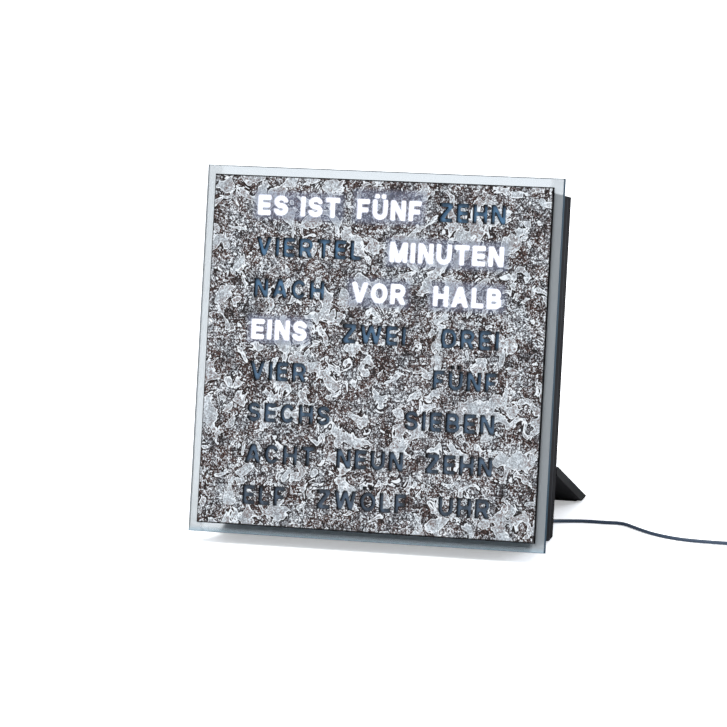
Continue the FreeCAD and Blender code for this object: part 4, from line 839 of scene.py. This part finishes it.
class CLOCK_OT_face(FinishStep, bpy.types.Operator):
    """Finish the stone sheet, the black board and the light film"""
    bl_idname = "word_clock.face"
    bl_label = "Stone face"

    def execute(self, context):
        face = context.scene.clock_face
        dress(weathered_stone(face), "stone_sheet")
        dress(diffuser_film(face), "light_film")
        dress(black_board(face), "letter_board")
        return {"FINISHED"}


COVER_SCREW_SIDES = (-95.25, 95.25)
COVER_SCREW_RISES = (58.6, 208.2)
BRACKET_SCREW_SIDES = (-83.0, -67.0, 67.0, 83.0)
BRACKET_SCREW_RISE = 39.1
BRACKET_THICK = 1.6
FOOT_LENGTH = 34.0


class CLOCK_OT_case(FinishStep, bpy.types.Operator):
    """Finish the case, its cover and its screws"""
    bl_idname = "word_clock.case"
    bl_label = "Case and cover"

    def execute(self, context):
        dress(powder_coat(context.scene.clock_case), "case_shell", "rear_cover")
        steel = plated_metal("zinc_plated_steel", "#8F9195", "#B4B6BA", 0.32)
        dress(steel, "plate_screws", "board_screws", "hinge_pins", "board_spacers")
        cover = bmesh.new()
        for x in COVER_SCREW_SIDES:
            for rise in COVER_SCREW_RISES:
                add_screw(cover, Vector((x, CASE_BACK, rise)), radius=2.8, thick=1.6,
                          shank_radius=1.45, shank_length=12.0)
        set_piece(cover, "cover_screw_set", "cover_screws", steel)
        bracket = bmesh.new()
        for x in BRACKET_SCREW_SIDES:
            add_screw(bracket, Vector((x, CASE_BACK + BRACKET_THICK, BRACKET_SCREW_RISE)),
                      radius=2.3, thick=1.2, shank_radius=1.2, shank_length=4.5)
        set_piece(bracket, "bracket_screw_set", "bracket_screws", steel)
        return {"FINISHED"}


class CLOCK_OT_stand(FinishStep, bpy.types.Operator):
    """Finish the stand, its hinges and the feet"""
    bl_idname = "word_clock.stand"
    bl_label = "Stand and feet"

    def execute(self, context):
        dress(anodised_aluminium(context.scene.clock_case), "stand_flap",
              "hinge_bracket_left", "hinge_bracket_right")
        dress(moulded("turned_natural_nylon", "#CFCBBF", "#E2DFD6", 1.0, 0.01, 0.45),
              "friction_washers")
        rubber = moulded("moulded_rubber", "#131314", "#1D1D1F", 0.6, 0.03, 0.8)
        dress(rubber, "stand_pad")
        feet = bmesh.new()
        low, high = node_corners("base_feet")
        for left in (low.x, high.x - FOOT_LENGTH):
            rounded_block(feet, (left, low.y, low.z), (left + FOOT_LENGTH, high.y, high.z),
                          0.35)
        set_piece(feet, "rubber_feet", "base_feet", rubber, place=STILL)
        return {"FINISHED"}


class CLOCK_OT_buttons(FinishStep, bpy.types.Operator):
    """Finish the buttons, the power socket and their switches"""
    bl_idname = "word_clock.buttons"
    bl_label = "Buttons and socket"

    def execute(self, context):
        dress(moulded("spark_textured_abs", "#202124", "#2B2C2F", 0.5, 0.02, 0.5),
              "button_hour", "button_minute", "button_light", "dc_jack", "key_switches",
              "cell_holder")
        dress(moulded("grey_acetal_stem", "#808285", "#939598", 0.6, 0.01, 0.4),
              "key_stem_hour", "key_stem_minute", "key_stem_light")
        return {"FINISHED"}


class CLOCK_OT_electronics(FinishStep, bpy.types.Operator):
    """Finish the lamps, the boards and what is on them"""
    bl_idname = "word_clock.electronics"
    bl_label = "Lamps and boards"

    def execute(self, context):
        dress(circuit_board(), "led_board", "control_board")
        dress(moulded("white_moulded_polycarbonate", "#DEDEDB", "#EFEFEC", 1.0, 0.02, 0.5),
              "light_grid", "ribbon_sockets")
        dress(moulded("lamp_phosphor_resin", "#E8DD94", "#F4EDBE", 0.6, 0.01, 0.3), "leds")
        dress(moulded("epoxy_chip_moulding", "#18191A", "#232426", 0.4, 0.01, 0.6),
              "controller_chip")
        dress(moulded("grey_ribbon_sheath", "#7E8184", "#97999C", 1.27, 0.05, 0.5),
              "ribbon_cable")
        dress(plated_metal("nickel_plate", "#B5B4AE", "#D0CFC9", 0.22), "quartz_crystal",
              "backup_cell", "plug_barrel")
        return {"FINISHED"}


# ---------------------------------------------------------------- studio

CAMERA_ANGLES = (16.965, 15.006, -1.4595)      # azimuth, elevation and roll, in degrees
CAMERA_AIM = (2.686, -ORIGIN_DEPTH, 120.12)
CAMERA_DISTANCE = 2.61095                      # metres from what it aims at
PAPER_HALF = 8.0                               # metres


def camera_axes(azimuth, elevation, roll):
    """Right, up and back of a camera at these angles, in degrees."""
    turn, lift, tilt = (math.radians(angle) for angle in (azimuth, elevation, roll))
    back = Vector((math.sin(turn) * math.cos(lift), -math.cos(turn) * math.cos(lift),
                   math.sin(lift)))
    right = Vector((math.cos(turn), math.sin(turn), 0.0))
    up = back.cross(right)
    return (right * math.cos(tilt) + up * math.sin(tilt),
            up * math.cos(tilt) - right * math.sin(tilt), back)


def hang_lamp(name, power, width, place, aim, hex_code):
    """A square area light, in metres, turned to a point."""
    light = bpy.data.lights.new(name, "AREA")
    light.energy = power
    light.size = width
    light.color = linear(hex_code)[:3]
    lamp = bpy.data.objects.new(name, light)
    turn = (Vector(aim) - Vector(place)).to_track_quat("-Z", "Y")
    lamp.matrix_world = Matrix.Translation(place) @ turn.to_matrix().to_4x4()
    bpy.context.scene.collection.objects.link(lamp)


def seen_itself(tree):
    """1 for what is seen, reflected or seen through glass, 0 for light that falls on pieces."""
    rays = add_node(tree, "LightPath").node.outputs
    seen = add_node(tree, "Math", {
        0: rays["Is Camera Ray"], 1: rays["Is Glossy Ray"]}, operation="MAXIMUM")
    return add_node(tree, "Math", {0: seen, 1: rays["Is Transmission Ray"]}, operation="MAXIMUM")


def place_camera(scene, studio):
    eye = bpy.data.cameras.new("front_right_view")
    eye.lens = studio.lens
    eye.sensor_width = 36.0
    eye.clip_start = 0.1
    eye.clip_end = 40.0
    camera = bpy.data.objects.new("front_right_view", eye)
    right, up, back = camera_axes(*CAMERA_ANGLES)
    turn = Matrix((right, up, back)).transposed().to_4x4()
    place = Vector(CAMERA_AIM) * MM + back * CAMERA_DISTANCE
    camera.matrix_world = Matrix.Translation(place) @ turn
    scene.collection.objects.link(camera)
    scene.camera = camera


def lay_paper(scene, studio):
    """Matt paper under the clock.

    It lights the clock as plain paper does, and reads whiter than it is lit, so that little
    but its shadows shows. The glow's share of it takes no shadow.
    """
    paper = bmesh.new()
    bmesh.ops.create_grid(paper, x_segments=8, y_segments=8, size=PAPER_HALF)
    mesh = bpy.data.meshes.new("floor")
    paper.to_mesh(mesh)
    paper.free()
    floor = bpy.data.objects.new("floor", mesh)
    scene.collection.objects.link(floor)
    material, tree = start_material("matt_white_paper")
    plain = add_node(tree, "BsdfPrincipled", {
        "Base Color": tuple(studio.floor), "Roughness": 0.9, "Specular IOR Level": 0.05})
    direct, through = [[gain * part for part in tuple(studio.floor)[:3]] + [1.0]
                       for gain in (studio.floor_gain, studio.glass_gain)]
    colour = add_node(tree, "Mix", {
        0: add_node(tree, "LightPath", output="Is Camera Ray"), 6: through, 7: direct}, **COLOURS)
    whiter = add_node(tree, "BsdfDiffuse", {"Color": colour})
    white = add_node(tree, "Emission", {"Color": tuple(studio.floor), "Strength": 1.0})
    glow = add_node(tree, "Math", {0: add_node(tree, "LightPath", output="Is Camera Ray"),
                                   1: studio.floor_glow}, operation="MULTIPLY")
    whiter = add_node(tree, "MixShader", {0: glow, 1: whiter, 2: white})
    both = add_node(tree, "MixShader", {0: seen_itself(tree), 1: plain, 2: whiter})
    add_node(tree, "OutputMaterial", {"Surface": both})
    mesh.materials.append(material)


def surround(scene, studio):
    """White all round, which lights the clock less than it shows."""
    world = bpy.data.worlds.new("studio")
    world.use_nodes = True
    tree = world.node_tree
    tree.nodes.clear()
    soft = add_node(tree, "Background", {"Color": linear("#F3F6FA"), "Strength": studio.ambient})
    white = add_node(tree, "Background", {"Color": (1, 1, 1, 1), "Strength": 1.0})
    both = add_node(tree, "MixShader", {0: seen_itself(tree), 1: soft, 2: white})
    add_node(tree, "OutputWorld", {"Surface": both})
    scene.world = world
    scene.view_settings.view_transform = "Standard"


class CLOCK_OT_studio(FinishStep, bpy.types.Operator):
    """Set up the floor, the light and the camera"""
    bl_idname = "word_clock.studio"
    bl_label = "Floor, light and camera"

    def execute(self, context):
        studio = context.scene.clock_studio
        place_camera(context.scene, studio)
        lay_paper(context.scene, studio)
        surround(context.scene, studio)
        hang_lamp("key", studio.key, width=1.2, place=(-0.9, -1.0, 2.1), aim=(0, 0, 0.1),
                  hex_code="#FFFFFF")
        hang_lamp("fill", studio.fill, width=1.0, place=(1.7, 0.2, 0.9), aim=(0, 0, 0.05),
                  hex_code="#F2F6FF")
        return {"FINISHED"}


SETTINGS = {"clock_face": FaceSettings, "clock_case": CaseSettings, "clock_cord": CordSettings,
            "clock_studio": StudioSettings}
STEPS = (CLOCK_OT_studio, CLOCK_OT_cord, CLOCK_OT_plate, CLOCK_OT_face, CLOCK_OT_case,
         CLOCK_OT_stand, CLOCK_OT_buttons, CLOCK_OT_electronics)


class CLOCK_PT_panel(bpy.types.Panel):
    """Lists the steps that finish the clock, and their settings"""
    bl_idname = "CLOCK_PT_panel"
    bl_label = "Word Clock"
    bl_space_type = "VIEW_3D"
    bl_region_type = "UI"
    bl_category = "Word Clock"

    def draw(self, context):
        for step in STEPS:
            self.layout.operator(step.bl_idname)
        for name in SETTINGS:
            group = getattr(context.scene, name)
            column = self.layout.column(align=True)
            for setting in group.bl_rna.properties:
                if setting.identifier not in ("rna_type", "name"):
                    column.prop(group, setting.identifier)


CLASSES = (*SETTINGS.values(), *STEPS, CLOCK_PT_panel)


def register():
    for kind in CLASSES:
        bpy.utils.register_class(kind)
    for name, group in SETTINGS.items():
        setattr(bpy.types.Scene, name, bpy.props.PointerProperty(type=group))


def unregister():
    for name in SETTINGS:
        delattr(bpy.types.Scene, name)
    for kind in reversed(CLASSES):
        bpy.utils.unregister_class(kind)


def main():
    register()
    for step in STEPS:
        getattr(bpy.ops.word_clock, step.bl_idname.split(".")[1])()


if __name__ == "__main__":
    main()
